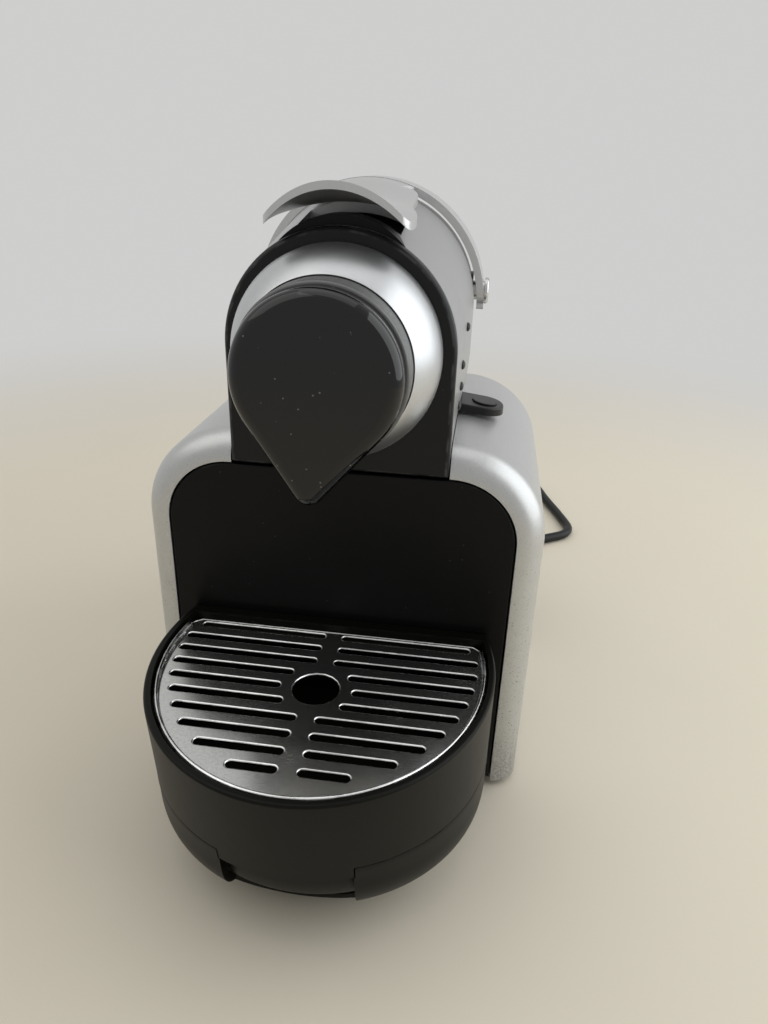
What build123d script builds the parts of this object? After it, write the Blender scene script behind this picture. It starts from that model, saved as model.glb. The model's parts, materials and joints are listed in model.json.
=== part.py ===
import os
from math import asin, cos, degrees, hypot, pi, radians, sin, sqrt, tan

from build123d import *

os.makedirs("parts", exist_ok=True)

# Overall size in millimetres: x to the right, y to the back, z up from the worktop
machine_width = 164.0
machine_depth = 286.5
tray_reach = 102.5
foot_height = 3.0
front_y = tray_reach - machine_depth / 2
back_y = machine_depth / 2

# Clearances
seam_gap = 0.3
slide_gap = 0.4
pin_gap = 0.05

# Housing, front panel and base
housing_wall = 2.5
housing_depth = 116.0
rim_width = 11.2
rim_round = 10.8
panel_top = 150.0
panel_flat_half = 43.8
panel_thickness = 3.0
panel_edge_round = 0.8
panel_half = machine_width / 2 - rim_width
housing_half = machine_width / 2
housing_top = panel_top + rim_width
panel_corner = panel_half - panel_flat_half
housing_corner = panel_corner + rim_width
inside_half = housing_half - housing_wall
inside_top = housing_top - housing_wall
inside_corner = housing_corner - housing_wall
base_thickness = 4.0
base_top = foot_height + base_thickness
base_half = inside_half - seam_gap
back_thickness = 3.0
foot_radius = 7.0
foot_inset = 22.0

# Screws that hold the case
screw_radius = 1.6
screw_head_radius = 3.2
screw_head_height = 2.0
screw_length = 11.0
boss_radius = 4.5
boss_length = 12.0
boss_low = 55.0
lug_size = 12.0
back_vent_size = (9.0, 3.0)
back_vent_pitch = 8.0
back_vent_count = 9
back_vent_rise = 10.0

# Head with the brewing unit
head_half = 42.5
head_wall = 2.5
head_length = 98.0
head_back_round = 15.0
axis_z = 196.0
flare_back = 64.0
flare_half = 45.6
flare_crown_z = 202.6
rear_half = 44.9
rear_draw = (198.0, 178.0)
flank_z = 186.0
face_thickness = 4.0
face_proud = 1.0
face_bevel = 1.2
head_bottom = panel_top + 2.0
head_inside = head_half - head_wall
vent_size = (4.0, 2.6)
vent_spots = ((38.0, 200.0), (27.0, 187.5), (27.0, 179.0), (27.0, 171.0))

# Coffee outlet on the face plate
ring_radius = 37.6
ring_edge = 5.0
ring_reach = 23.0
drum_radius = 29.4
drum_wall = 2.2
drum_reach = 33.0
cap_radius = 28.2
cap_drop = 43.2
cap_tip_radius = 5.5
cap_turn = 3.9
cap_thickness = 10.0
cap_round = 5.0
spout_radius = 3.5
spout_bore = 2.0

# Lever and the linkage it drives
pivot_back = 80.0
pivot_z = 208.0
lever_open = 84.0
band_centre_z = 203.0
band_radius = 49.5
band_thickness = 3.0
band_width = 20.0
arm_end_radius = 8.0
lip_reach = 12.0
lip_half = 24.5
tongue_thickness = 2.6
shaft_radius = 4.0
crank_radius = 20.0
crank_start = 30.0
crank_eye = 2.8
crank_hub = 2.0
crank_plate = 3.0
crank_inner_x = 11.0
shoe_span = (12.0, 2.0)
cage_round = 2.0
pivot_head_radius = 5.5
pivot_head_height = 1.8
pivot_slot = (8.0, 1.0, 0.9)
# Crown and edge heights of the tongue, below the top of the band, at distances behind the panel
tongue_stations = ((-13.0, -0.4, 18.5), (2.0, 2.6, 12.5), (16.0, 4.6, 10.8), (45.0, 3.2, 10.2))
lip_corner = 3.0
lip_sweep = 3.0
lip_turn = ((0.4, -4.5), (1.0, 6.0))
tongue_waist = ((3.0, 30.0), (8.5, 60.0))
tongue_root_in = 6.5

# Capsule space, cage and guides
capsule_radius = 18.5
capsule_gap = 1.0
cage_front = 13.0
cage_length = 22.0
cage_radius = 21.0
cage_bore = 16.5
cage_back_wall = 4.0
lug_pin_back = 4.5
lug_pin_z = 213.0
lug_half = 6.4
link_width = 6.0
link_plate = 3.0
link_pin_radius = 1.6
rail_radius = 2.5
rail_x = 24.0
rail_drop = 12.0
brew_front = 4.0
brew_thickness = 8.0
brew_radius = 34.0
bulkhead_front = 86.5
bulkhead_thickness = 2.5
bulkhead_top = 194.0
inlet_rise = 3.6
inlet_half = 22.5
spike_count = 3
spike_ring = 6.0
spike_size = (1.5, 0.3, 5.0)
pierce_pitch = 4.0
pierce_rows = 5
pierce_radius = 0.8

# Switch paddle on the right shoulder
paddle_back = 56.0
paddle_width = 19.0
paddle_tip_x = 62.0
paddle_pivot_x = 33.0
paddle_pivot_z = 164.4
paddle_thickness = 3.4
paddle_droop = 7.0
paddle_pin_radius = 1.5
paddle_tip_share = 0.46
pad_share = (0.3, 0.32)
pad_height = 0.8
pad_round = 0.5
ear_gap = 1.0
ear_thickness = 2.4
shelf_drop = 3.0
shelf_thickness = 2.0
micro_half = 6.0
plunger_radius = 1.0
plunger_height = 0.8
plunger_gap = 0.4

# Capsule container
bin_half = 34.0
bin_length = 79.0
bin_top = 112.0
bin_wall = 2.0
bin_corner = 8.0

# Drip tray, its base and the grid
tray_half = 66.6
tray_length = 75.8
tray_rim_z = 82.5
tray_seam_z = 46.5
tray_wall = 2.6
tray_floor = 2.5
tray_lean = 0.19
rim_bead = 1.2
tab_half = 23.5
tab_drop = 5.5
recess_depth = 4.0
base_bottom = 2.5
bowl_start_z = 32.0
bowl_depth = 33.0
bowl_draw = 50.0
wall_steps = 3
bowl_steps = 5
tray_back_rim = 5.0
ledge_width = 3.0
ledge_height = 2.0
lug_block = (6.0, 12.0, 4.0)
back_lug_x = 20.0
tray_back = front_y - slide_gap
tray_centre_y = front_y - tray_reach + tray_length
grid_z = 79.0
grid_plate = 1.2
grid_rim_width = 3.0
grid_rim_height = 1.6
slot_pitch = 8.45
slot_width = 3.4
slot_rows_back = 4
slot_rows_front = 5
slot_end_half = 61.3
slot_end_length = 67.5
slot_web = 3.4
slot_hole_clear = 13.6
hole_radius = 9.0
hole_back = -42.6
hook_x = 22.0
hook_z = 26.0
hook_size = (10.0, 4.0)

# Water tank at the back
tank_inset = 19.5
tank_half = inside_half - tank_inset
tank_wall = 2.2
tank_corner = 16.0
tank_bottom_round = 3.0
tank_seat_z = 14.0
tank_top = 128.0
lid_thickness = 9.0
lid_round = 4.0
lid_lip = 5.0
coupling_back = 24.0
coupling_radius = 11.0
nipple_radius = 3.5
tank_hole_radius = 6.0
valve_head_radius = 8.0
valve_head_height = 2.0
valve_cage_radius = 12.0
valve_cage_height = 14.0
valve_cage_wall = 2.0
valve_window = 8.0
seal_width = 2.5
valve_stem_radius = 2.0

# Heater, pump, hoses and board
heater_size = (32.0, 60.0, 72.0)
heater_gap = 3.5
heater_back = 55.0
heater_z = 40.0
fin_count = 7
fin_depth = 3.0
port_spread = 8.0
port_back = 10.0
port_height = 6.0
heater_round = 4.0
fin_margin = 5.0
bracket_sheet = 1.5
bracket_inset = (2.0, 4.0)
thermostat_size = (7.0, 5.0)
coil_gap = 3.0
pump_back = 60.0
pump_radius = 12.0
pump_z = (34.0, 122.0)
coil_block = (33.0, 42.0, 40.0)
coil_block_z = 58.0
barb_radius = 3.1
barb_low = 10.0
barb_high = 5.0
barb_short = 4.5
coil_round = 3.0
mount_radius = 5.0
hose_radius = 3.0
hose_bend = 9.0
brew_hose_radius = 2.4
bin_hose_gap = 8.0
pressure_back = 86.0
pressure_z = 139.0
brew_hose_z = 130.0
brew_hose_x = -12.0
brew_hose_top = 176.0
board_back = 104.0
board_size = (72.0, 82.0)
board_thickness = 1.6
board_z = 30.0
board_post_radius = 3.0
board_post_inset = 4.0
# Board parts: place across and up, then width, height and depth
board_parts = ((-20, 50, 22, 26, 9), (14, 46, 16, 20, 8), (-18, 86, 14, 10, 6), (16, 84, 20, 12, 9))
capacitor = (0.0, 100.0, 5.0, 9.0)

# Mains cord, its coil and its plug
cord_radius = 3.25
gland_inset = 9.5
gland_x = inside_half - gland_inset
gland_z = 24.0
gland_length = 27.0
gland_flange = 2.0
gland_grooves = 4
gland_groove = 2.0
cord_lift = 0.1
fold_radius = 7.0
coil_radius = 42.0
coil_pitch = 7.5
coil_step = 7.1
coil_layer_turns = 1.25
coil_centre = (44.0, 300.0)
coil_lead = 8.0
tie_gap = 0.35
tie_thickness = 1.0
tie_width = 9.0
plug_lead = 28.0
plug_boot = 22.0
plug_neck = 8.5
plug_waist = (22.0, 16.0)
plug_size = (37.0, 38.0)
pin_radius = 2.4
pin_length = 19.0
pin_spacing = 19.0


def behind(distance):
    # Depth of a point that lies this far behind the front panel
    return front_y + distance


def front_view(distance):
    # Sketch plane seen from the front, at a distance behind the front panel
    return Plane(origin=(0, behind(distance), 0), x_dir=(1, 0, 0), z_dir=(0, -1, 0))


def side_view(x):
    # Sketch plane seen from the right, with y across and z up
    return Plane(origin=(x, 0, 0), x_dir=(0, 1, 0), z_dir=(1, 0, 0))


def arch(plane, half_width, bottom, top, corner):
    # Upright face with two rounded top corners
    with BuildSketch(plane) as face:
        with Locations((0, (bottom + top) / 2)):
            Rectangle(2 * half_width, top - bottom)
        fillet(face.vertices().group_by(Axis.Y)[-1], corner)
    return face.sketch


def tunnel(plane, radius, bottom, crown_z):
    # Upright face with straight sides and a round top
    with BuildSketch(plane) as face:
        with Locations((0, crown_z)):
            Circle(radius)
        with Locations((0, (bottom + crown_z) / 2)):
            Rectangle(2 * radius, crown_z - bottom)
    return face.sketch


def box_at(x, y, z):
    # Box between three pairs of limits
    with Locations(((x[0] + x[1]) / 2, (y[0] + y[1]) / 2, (z[0] + z[1]) / 2)):
        Box(x[1] - x[0], y[1] - y[0], z[1] - z[0])


def disc(plane, centre, radius):
    # Round face on a sketch plane
    with BuildSketch(plane) as face:
        with Locations(centre):
            Circle(radius)
    return face.sketch


def ring_face(plane, centre, outer, inner):
    # Flat ring on a sketch plane
    with BuildSketch(plane) as face:
        with Locations(centre):
            Circle(outer)
            Circle(inner, mode=Mode.SUBTRACT)
    return face.sketch


def hose(points, radius, bend, bore=0):
    # Tube along straight runs joined by round bends
    with BuildPart() as tube:
        with BuildLine() as run:
            FilletPolyline(*points, radius=bend)
        with BuildSketch(Plane(origin=run.line @ 0, z_dir=run.line % 0)):
            Circle(radius)
            if bore:
                Circle(bore, mode=Mode.SUBTRACT)
        sweep(path=run.line)
    return tube


def save(builder, name):
    builder.part.label = name
    export_step(builder.part, f"parts/{name}.step")


# Base plate with the seat for the tank
seat_front = behind(housing_depth) + seam_gap
coupling_y = behind(housing_depth + coupling_back)
feet = [(s * (base_half - foot_inset / 2), behind(foot_inset)) for s in (-1, 1)]
feet += [(s * (tank_half - foot_inset / 2), back_y - foot_inset / 2) for s in (-1, 1)]
lug_x = inside_half - lug_size / 2
lug_backs = (foot_inset + 2 * foot_radius, housing_depth - back_thickness - lug_size)
guide_inner = bin_half + slide_gap

with BuildPart() as base_plate:
    box_at((-base_half, base_half), (behind(panel_thickness + 1), behind(housing_depth) - seam_gap),
           (foot_height, base_top))
    front_corners = base_plate.edges().filter_by(Axis.Z).group_by(Axis.Y)[0]
    fillet(front_corners, rim_round - housing_wall)
    with BuildSketch(Plane.XY.offset(foot_height)) as platform:
        with Locations((0, (behind(housing_depth - back_thickness) + back_y) / 2)):
            Rectangle(2 * tank_half, back_y - behind(housing_depth - back_thickness))
        fillet(platform.vertices().group_by(Axis.Y)[-1], tank_corner)
    extrude(amount=tank_seat_z - foot_height)
    for side in (-1, 1):
        box_at(sorted((side * guide_inner, side * (guide_inner + bin_wall))),
               (behind(panel_thickness + 4), behind(panel_thickness + bin_length)),
               (base_top, base_top + 2 * base_thickness))
    extrude(disc(Plane.XY.offset(base_top), (0, coupling_y), coupling_radius + slide_gap),
            amount=tank_seat_z, mode=Mode.SUBTRACT)
    with Locations((0, (behind(housing_depth - back_thickness) + coupling_y) / 2, base_top + tank_seat_z / 2)):
        Box(2 * (barb_radius + slide_gap), coupling_y - behind(housing_depth - back_thickness) + 2, tank_seat_z,
            mode=Mode.SUBTRACT)
    for side in (-1, 1):
        for back in lug_backs:
            extrude(disc(Plane.XY.offset(foot_height), (side * lug_x, behind(back + lug_size / 2)),
                         screw_head_radius + seam_gap), amount=screw_head_height, mode=Mode.SUBTRACT)
            extrude(disc(Plane.XY.offset(foot_height), (side * lug_x, behind(back + lug_size / 2)),
                         screw_radius + pin_gap), amount=base_thickness, mode=Mode.SUBTRACT)
save(base_plate, "base_plate")

with BuildPart() as rubber_feet:
    with BuildSketch(Plane.XY):
        with Locations(*feet):
            Circle(foot_radius)
    extrude(amount=foot_height)
    chamfer(rubber_feet.edges().group_by(Axis.Z)[0], foot_height / 4)
save(rubber_feet, "rubber_feet")

# Housing: a rounded arch shell, open for the front panel, the head and the back panel
corner_reach = (inside_corner - boss_radius + 1) / sqrt(2)
boss_spots = []
for side in (-1, 1):
    boss_spots.append((side * (inside_half - boss_radius + 1), boss_low))
    boss_spots.append((side * (inside_half - inside_corner + corner_reach),
                       inside_top - inside_corner + corner_reach))
boss_front = housing_depth - back_thickness - boss_length

with BuildPart() as housing_space:
    extrude(arch(front_view(housing_wall), inside_half, 0, inside_top, inside_corner), amount=-housing_depth)
    front_edges = housing_space.faces().sort_by(Axis.Y)[0].edges().filter_by(lambda e: e.center().Z > 1)
    fillet(front_edges, rim_round - housing_wall)

with BuildPart() as housing:
    extrude(arch(front_view(0), housing_half, foot_height, housing_top, housing_corner), amount=-housing_depth)
    front_face = housing.faces().sort_by(Axis.Y)[0]
    fillet(front_face.edges().filter_by(lambda edge: edge.center().Z > foot_height + 1), rim_round)
    add(housing_space.part, mode=Mode.SUBTRACT)
    extrude(arch(front_view(-1), panel_half, 0, panel_top, panel_corner), amount=-(2 * rim_round),
            mode=Mode.SUBTRACT)
    extrude(arch(front_view(-1), head_half + seam_gap, panel_top - 1, housing_top + 1, 0.5),
            amount=-(head_length + 1 + seam_gap), mode=Mode.SUBTRACT)
    for spot in boss_spots:
        extrude(disc(front_view(boss_front), spot, boss_radius), amount=-boss_length)
    for side in (-1, 1):
        for back in lug_backs:
            box_at(sorted((side * (lug_x - lug_size / 2), side * (inside_half + 1))),
                   (behind(back), behind(back + lug_size)), (base_top, base_top + lug_size))
            extrude(disc(Plane.XY.offset(base_top), (side * lug_x, behind(back + lug_size / 2)), screw_radius),
                    amount=screw_length, mode=Mode.SUBTRACT)
    for spot in boss_spots:
        extrude(disc(front_view(boss_front + 1), spot, screw_radius), amount=-boss_length, mode=Mode.SUBTRACT)
save(housing, "housing")

# Back panel with vents, board posts and openings for the hose and the cord
post_x = board_size[0] / 2 - board_post_inset
post_heights = (board_z + 1.5 * board_post_inset, board_z + board_size[1] - 1.5 * board_post_inset)
board_posts = [(side * post_x, height) for side in (-1, 1) for height in post_heights]
with BuildPart() as back_panel:
    extrude(arch(front_view(housing_depth - back_thickness), inside_half - seam_gap, tank_seat_z + seam_gap,
                 inside_top - seam_gap, inside_corner - seam_gap), amount=-back_thickness)
    for side in (-1, 1):
        box_at(sorted((side * (tank_half + seam_gap), side * (inside_half - seam_gap))),
               (behind(housing_depth - back_thickness), behind(housing_depth)),
               (base_top, tank_seat_z + 2))
    for post in board_posts:
        extrude(disc(front_view(board_back + board_thickness), post, board_post_radius),
                amount=-(housing_depth - back_thickness - board_back - board_thickness))
    for spot in boss_spots:
        extrude(disc(front_view(0), spot, screw_radius + pin_gap), amount=-2 * housing_depth,
                mode=Mode.SUBTRACT)
    extrude(disc(front_view(0), (gland_x, gland_z), 2 * cord_radius), amount=-2 * housing_depth,
            mode=Mode.SUBTRACT)
    with BuildSketch(front_view(housing_depth - back_thickness)):
        with Locations((0, tank_top + lid_thickness + back_vent_rise)):
            with GridLocations(back_vent_pitch, 1, back_vent_count, 1):
                SlotOverall(*back_vent_size, rotation=90)
    extrude(amount=-back_thickness, mode=Mode.SUBTRACT)
save(back_panel, "back_panel")

with BuildPart() as case_screws:
    for spot in boss_spots:
        extrude(disc(front_view(housing_depth), spot, screw_head_radius), amount=-screw_head_height)
        extrude(disc(front_view(housing_depth - screw_length), spot, screw_radius), amount=-screw_length)
    for side in (-1, 1):
        for back in lug_backs:
            spot = (side * lug_x, behind(back + lug_size / 2))
            extrude(disc(Plane.XY.offset(foot_height), spot, screw_head_radius), amount=screw_head_height)
            extrude(disc(Plane.XY.offset(foot_height), spot, screw_radius), amount=screw_length)
save(case_screws, "case_screws")

# Head shell: round top, rounded back, vents, lever bosses and the opening for capsules
slot_front = cage_front - slide_gap
crank_end_closed = (pivot_back - crank_radius * cos(radians(crank_start)),
                    pivot_z + crank_radius * sin(radians(crank_start)))
crank_end_open = (pivot_back - crank_radius * cos(radians(crank_start + lever_open)),
                  pivot_z + crank_radius * sin(radians(crank_start + lever_open)))
pin_closed = cage_front + cage_length + lug_pin_back
link_length = hypot(crank_end_closed[0] - pin_closed, crank_end_closed[1] - lug_pin_z)
pin_open = crank_end_open[0] - sqrt(link_length ** 2 - (crank_end_open[1] - lug_pin_z) ** 2)
cage_travel = pin_open - pin_closed
link_closed = degrees(asin((crank_end_closed[1] - lug_pin_z) / link_length))
link_open = degrees(asin((crank_end_open[1] - lug_pin_z) / link_length))
print(f"cage travel {cage_travel:.3f} mm, links tilt {link_open - link_closed:.3f} degrees")
slot_back = cage_front + cage_travel
arm_inner = band_radius - band_thickness
boss_reach = sqrt(arm_inner ** 2 - (pivot_z + arm_end_radius - band_centre_z) ** 2) - slide_gap
flange_reach = 5.0
flange_span = (20.0, 90.0)
flange_foot = 3.0
face_back = face_thickness - face_proud
waist_z = housing_top + seam_gap


def head_section(distance, half, crown_z, flank, waist, pulls):
    # Head outline: round top, upright flanks, and a waist that draws in to the opening of the housing
    with BuildSketch(front_view(distance)) as face:
        with BuildLine():
            CenterArc((0, crown_z), half, 0, 180)
            for side in (-1, 1):
                Line((side * half, crown_z), (side * half, flank))
                Bezier((side * half, flank), *[(side * across, (flank + waist) / 2) for across in pulls],
                       (side * head_half, waist))
                Line((side * head_half, waist), (side * head_half, head_bottom))
            Line((-head_half, head_bottom), (head_half, head_bottom))
        make_face()
    return face.sketch


def head_flare(grow):
    # Front part of the head, which widens and rises towards the band of the lever
    front_half = head_half + grow
    back_half = flare_half + grow
    with BuildPart() as flare:
        loft([head_section(face_back, front_half, axis_z, flank_z, waist_z, [front_half]),
              head_section(flare_back, back_half, flare_crown_z, flank_z, waist_z, [back_half])], ruled=True)
    return flare.part


with BuildPart() as head_space:
    loft([tunnel(front_view(0), head_inside, head_bottom - 1, axis_z),
          tunnel(front_view(flare_back), head_inside, head_bottom - 1, flare_crown_z)], ruled=True)
    extrude(tunnel(front_view(flare_back), head_inside, head_bottom - 1, flare_crown_z),
            amount=-(head_length - head_wall - flare_back))
    back_face = head_space.faces().sort_by(Axis.Y)[-1]
    fillet(back_face.edges().filter_by(lambda edge: edge.center().Z > head_bottom), head_back_round - head_wall)

with BuildPart() as head_shell:
    extrude(head_section(flare_back, rear_half, flare_crown_z, *rear_draw, [rear_half, head_half]),
            amount=flare_back - head_length)
    back_face = head_shell.faces().sort_by(Axis.Y)[-1]
    fillet(back_face.edges().filter_by(lambda edge: edge.center().Z > head_bottom + 1), head_back_round)
    for side in (-1, 1):
        with BuildSketch(side_view(0)):
            with Locations((behind(pivot_back), pivot_z)):
                Circle(arm_end_radius)
        extrude(amount=side * boss_reach)
    add(head_flare(0))
    add(head_space.part, mode=Mode.SUBTRACT)
    for side in (-1, 1):
        box_at(sorted((side * head_inside, side * (head_half + flange_reach))),
               [behind(back) for back in flange_span], (head_bottom + flange_foot, inside_top - 2 * seam_gap))
        with BuildSketch(side_view(side * head_inside)):
            with Locations(*[(behind(back), height) for back, height in vent_spots]):
                SlotOverall(*vent_size)
        extrude(amount=flare_half, both=True, mode=Mode.SUBTRACT)
    extrude(disc(side_view(0), (behind(pivot_back), pivot_z), shaft_radius + pin_gap), amount=machine_width / 2,
            both=True, mode=Mode.SUBTRACT)
    with Locations((0, behind((slot_front + slot_back) / 2), axis_z + head_half)):
        Box(2 * (capsule_radius + capsule_gap), slot_back - slot_front, head_half, mode=Mode.SUBTRACT)
    with Locations((head_half, behind(paddle_back), paddle_pivot_z)):
        Box(4 * head_wall, paddle_width + 4 * slide_gap, 2 * paddle_thickness, mode=Mode.SUBTRACT)
save(head_shell, "head_shell")

# Black hood in front of the capsule opening, a crescent that lies on the head
inlet_foot = axis_z + sqrt(head_half ** 2 - inlet_half ** 2)
with BuildPart() as capsule_inlet:
    with BuildSketch(front_view(face_back)):
        with BuildLine():
            ThreePointArc((-inlet_half, inlet_foot), (0, axis_z + head_half + inlet_rise),
                          (inlet_half, inlet_foot))
            Line((inlet_half, inlet_foot), (-inlet_half, inlet_foot))
        make_face()
    extrude(amount=face_back - slot_front)
    add(head_flare(pin_gap), mode=Mode.SUBTRACT)
save(capsule_inlet, "capsule_inlet")

# Face plate, outlet ring, drum, cap and spout
with BuildPart() as face_plate:
    extrude(tunnel(front_view(-face_proud), head_half, panel_top + seam_gap, axis_z), amount=-face_thickness)
    chamfer(face_plate.faces().sort_by(Axis.Y)[0].edges(), face_bevel)
    extrude(disc(front_view(-2 * face_thickness), (0, axis_z), drum_radius + seam_gap),
            amount=-4 * face_thickness, mode=Mode.SUBTRACT)
save(face_plate, "face_plate")

outlet_axis = Axis((0, 0, axis_z), (0, 1, 0))
ring_inner = drum_radius + seam_gap
plate_y = behind(-face_proud)
with BuildPart() as outlet_ring:
    with BuildSketch(side_view(0)):
        with BuildLine():
            Polyline((behind(-ring_reach), axis_z + ring_inner), (plate_y, axis_z + ring_inner),
                     (plate_y, axis_z + ring_radius), (plate_y - ring_edge, axis_z + ring_radius))
            TangentArc((plate_y - ring_edge, axis_z + ring_radius), (behind(-ring_reach), axis_z + ring_inner),
                       tangent=(-1, -0.12))
        make_face()
    revolve(axis=outlet_axis)
save(outlet_ring, "outlet_ring")

spout_y = behind(-drum_reach + drum_wall + spout_radius + seam_gap)
spout_top = axis_z - drum_radius / 2
spout_bottom = axis_z - cap_drop + 2 * cap_tip_radius
with BuildPart() as outlet_drum:
    extrude(disc(front_view(face_back), (0, axis_z), drum_radius), amount=drum_reach + face_back)
    fillet(outlet_drum.edges().group_by(Axis.Y)[0], drum_wall / 2)
    extrude(disc(front_view(face_thickness), (0, axis_z), drum_radius - drum_wall),
            amount=drum_reach + face_thickness - drum_wall, mode=Mode.SUBTRACT)
    extrude(disc(Plane.XY.offset(spout_top), (0, spout_y), spout_radius + seam_gap), amount=-drum_radius,
            mode=Mode.SUBTRACT)
save(outlet_drum, "outlet_drum")

tip_reach = cap_drop - cap_tip_radius
tip_centre = (-tip_reach * sin(radians(cap_turn)), axis_z - tip_reach * cos(radians(cap_turn)))
with BuildPart() as outlet_cap:
    with BuildSketch(front_view(-drum_reach)):
        with BuildLine():
            CenterArc((0, axis_z), cap_radius, 0, 360)
            CenterArc(tip_centre, cap_tip_radius, 0, 360)
        make_hull()
    extrude(amount=cap_thickness)
    fillet(outlet_cap.faces().sort_by(Axis.Y)[0].edges(), cap_round)
save(outlet_cap, "outlet_cap")

coffee_spout = hose([(0, behind(brew_front), spout_top), (0, spout_y, spout_top), (0, spout_y, spout_bottom)],
                    spout_radius, 2 * spout_radius, spout_bore)
save(coffee_spout, "coffee_spout")

# Brewing unit: fixed front plate, pierce plate, guide rails and rear bulkhead
rails = [(s * rail_x, axis_z - rail_drop) for s in (-1, 1)]
rail_sink = brew_thickness / 2
with BuildPart() as brew_head:
    extrude(disc(front_view(brew_front), (0, axis_z), brew_radius), amount=-brew_thickness)
    extrude(disc(front_view(brew_front), (0, spout_top), spout_bore), amount=-brew_thickness,
            mode=Mode.SUBTRACT)
    extrude(disc(front_view(brew_front + brew_thickness - 1), (0, axis_z), capsule_radius), amount=-2,
            mode=Mode.SUBTRACT)
    for rail in rails:
        extrude(disc(front_view(brew_front + brew_thickness - rail_sink), rail, rail_radius),
                amount=-brew_thickness, mode=Mode.SUBTRACT)
save(brew_head, "brew_head")

with BuildPart() as pierce_plate:
    with BuildSketch(front_view(brew_front + brew_thickness - 1)):
        with Locations((0, axis_z)):
            Circle(capsule_radius - seam_gap)
            with GridLocations(pierce_pitch, pierce_pitch, pierce_rows, pierce_rows):
                Circle(pierce_radius, mode=Mode.SUBTRACT)
    extrude(amount=-1)
save(pierce_plate, "pierce_plate")

with BuildPart() as guide_rails:
    for rail in rails:
        extrude(disc(front_view(brew_front + brew_thickness - rail_sink), rail, rail_radius),
                amount=-(bulkhead_front + bulkhead_thickness - brew_front - brew_thickness + rail_sink))
save(guide_rails, "guide_rails")

brew_hose_back = bulkhead_front + bulkhead_thickness + brew_hose_radius + 2 * seam_gap
bulkhead_back = bulkhead_front + bulkhead_thickness
inner_round = head_back_round - head_wall
bulkhead_sink = bulkhead_back - head_length + head_back_round
bulkhead_half = head_inside - inner_round + sqrt(inner_round ** 2 - bulkhead_sink ** 2) - pin_gap
with BuildPart() as rear_bulkhead:
    box_at((-bulkhead_half, bulkhead_half), (behind(bulkhead_front), behind(bulkhead_back)),
           (inside_top + seam_gap, bulkhead_top))
    with Locations((brew_hose_x, behind(brew_hose_back), brew_hose_top + brew_hose_radius)):
        Box(4 * brew_hose_radius, 2 * (brew_hose_back - bulkhead_back), 2 * brew_hose_radius)
    for rail in rails:
        extrude(disc(front_view(bulkhead_front), rail, rail_radius), amount=-bulkhead_thickness,
                mode=Mode.SUBTRACT)
save(rear_bulkhead, "rear_bulkhead")

# Capsule cage on the rails, with the lug that the links pull
cage_end = cage_front + cage_length
with BuildPart() as capsule_cage:
    extrude(disc(front_view(cage_front), (0, axis_z), cage_radius), amount=-cage_length)
    fillet(capsule_cage.edges().group_by(Axis.Y)[-1], cage_round)
    for side in (-1, 1):
        box_at(sorted((side * cage_bore, side * (rail_x + 2 * rail_radius))),
               (behind(cage_end - shoe_span[0]), behind(cage_end - shoe_span[1])),
               (axis_z - rail_drop - 2 * rail_radius, axis_z - rail_drop + 2 * rail_radius))
    with BuildSketch(side_view(0)):
        with Locations((behind(cage_end + lug_pin_back), lug_pin_z)):
            Circle(link_width / 2)
        with Locations((behind(cage_end), lug_pin_z - 3)):
            Rectangle(2 * lug_pin_back, link_width + 4)
    extrude(amount=lug_half, both=True)
    extrude(disc(front_view(cage_front - 1), (0, axis_z), cage_bore),
            amount=-(cage_length - cage_back_wall + 1), mode=Mode.SUBTRACT)
    for spike in range(spike_count):
        turn = radians(90 + 360 * spike / spike_count)
        spike_x = spike_ring * cos(turn)
        spike_z = axis_z + spike_ring * sin(turn)
        with Locations(Plane(origin=(spike_x, behind(cage_end - cage_back_wall), spike_z), z_dir=(0, -1, 0))):
            Cone(*spike_size, align=(Align.CENTER, Align.CENTER, Align.MIN))
    for rail in rails:
        extrude(disc(front_view(cage_front), rail, rail_radius + 4 * pin_gap), amount=-2 * cage_length,
                mode=Mode.SUBTRACT)
    extrude(disc(side_view(0), (behind(cage_end + lug_pin_back), lug_pin_z), link_pin_radius),
            amount=machine_width, both=True, mode=Mode.SUBTRACT)
save(capsule_cage, "capsule_cage")

link_inner_x = lug_half + slide_gap
link_outer_x = link_inner_x + link_plate
with BuildPart() as link_pin:
    extrude(disc(side_view(0), (behind(cage_end + lug_pin_back), lug_pin_z), link_pin_radius),
            amount=link_outer_x + slide_gap, both=True)
save(link_pin, "link_pin")

# Pair of links from the cage lug to the cranks on the lever shaft
with BuildPart() as drive_links:
    with BuildSketch(side_view(0)) as link_outline:
        with BuildLine():
            CenterArc((behind(pin_closed), lug_pin_z), link_width / 2, 0, 360)
            CenterArc((behind(crank_end_closed[0]), crank_end_closed[1]), link_width / 2, 0, 360)
        make_hull()
        with Locations((behind(pin_closed), lug_pin_z)):
            Circle(link_pin_radius + pin_gap, mode=Mode.SUBTRACT)
        with Locations((behind(crank_end_closed[0]), crank_end_closed[1])):
            Circle(link_pin_radius + pin_gap, mode=Mode.SUBTRACT)
    for side in (-1, 1):
        extrude(Plane.YZ.offset(side * link_inner_x) * link_outline.sketch_local, amount=side * link_plate)
save(drive_links, "drive_links")

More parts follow.
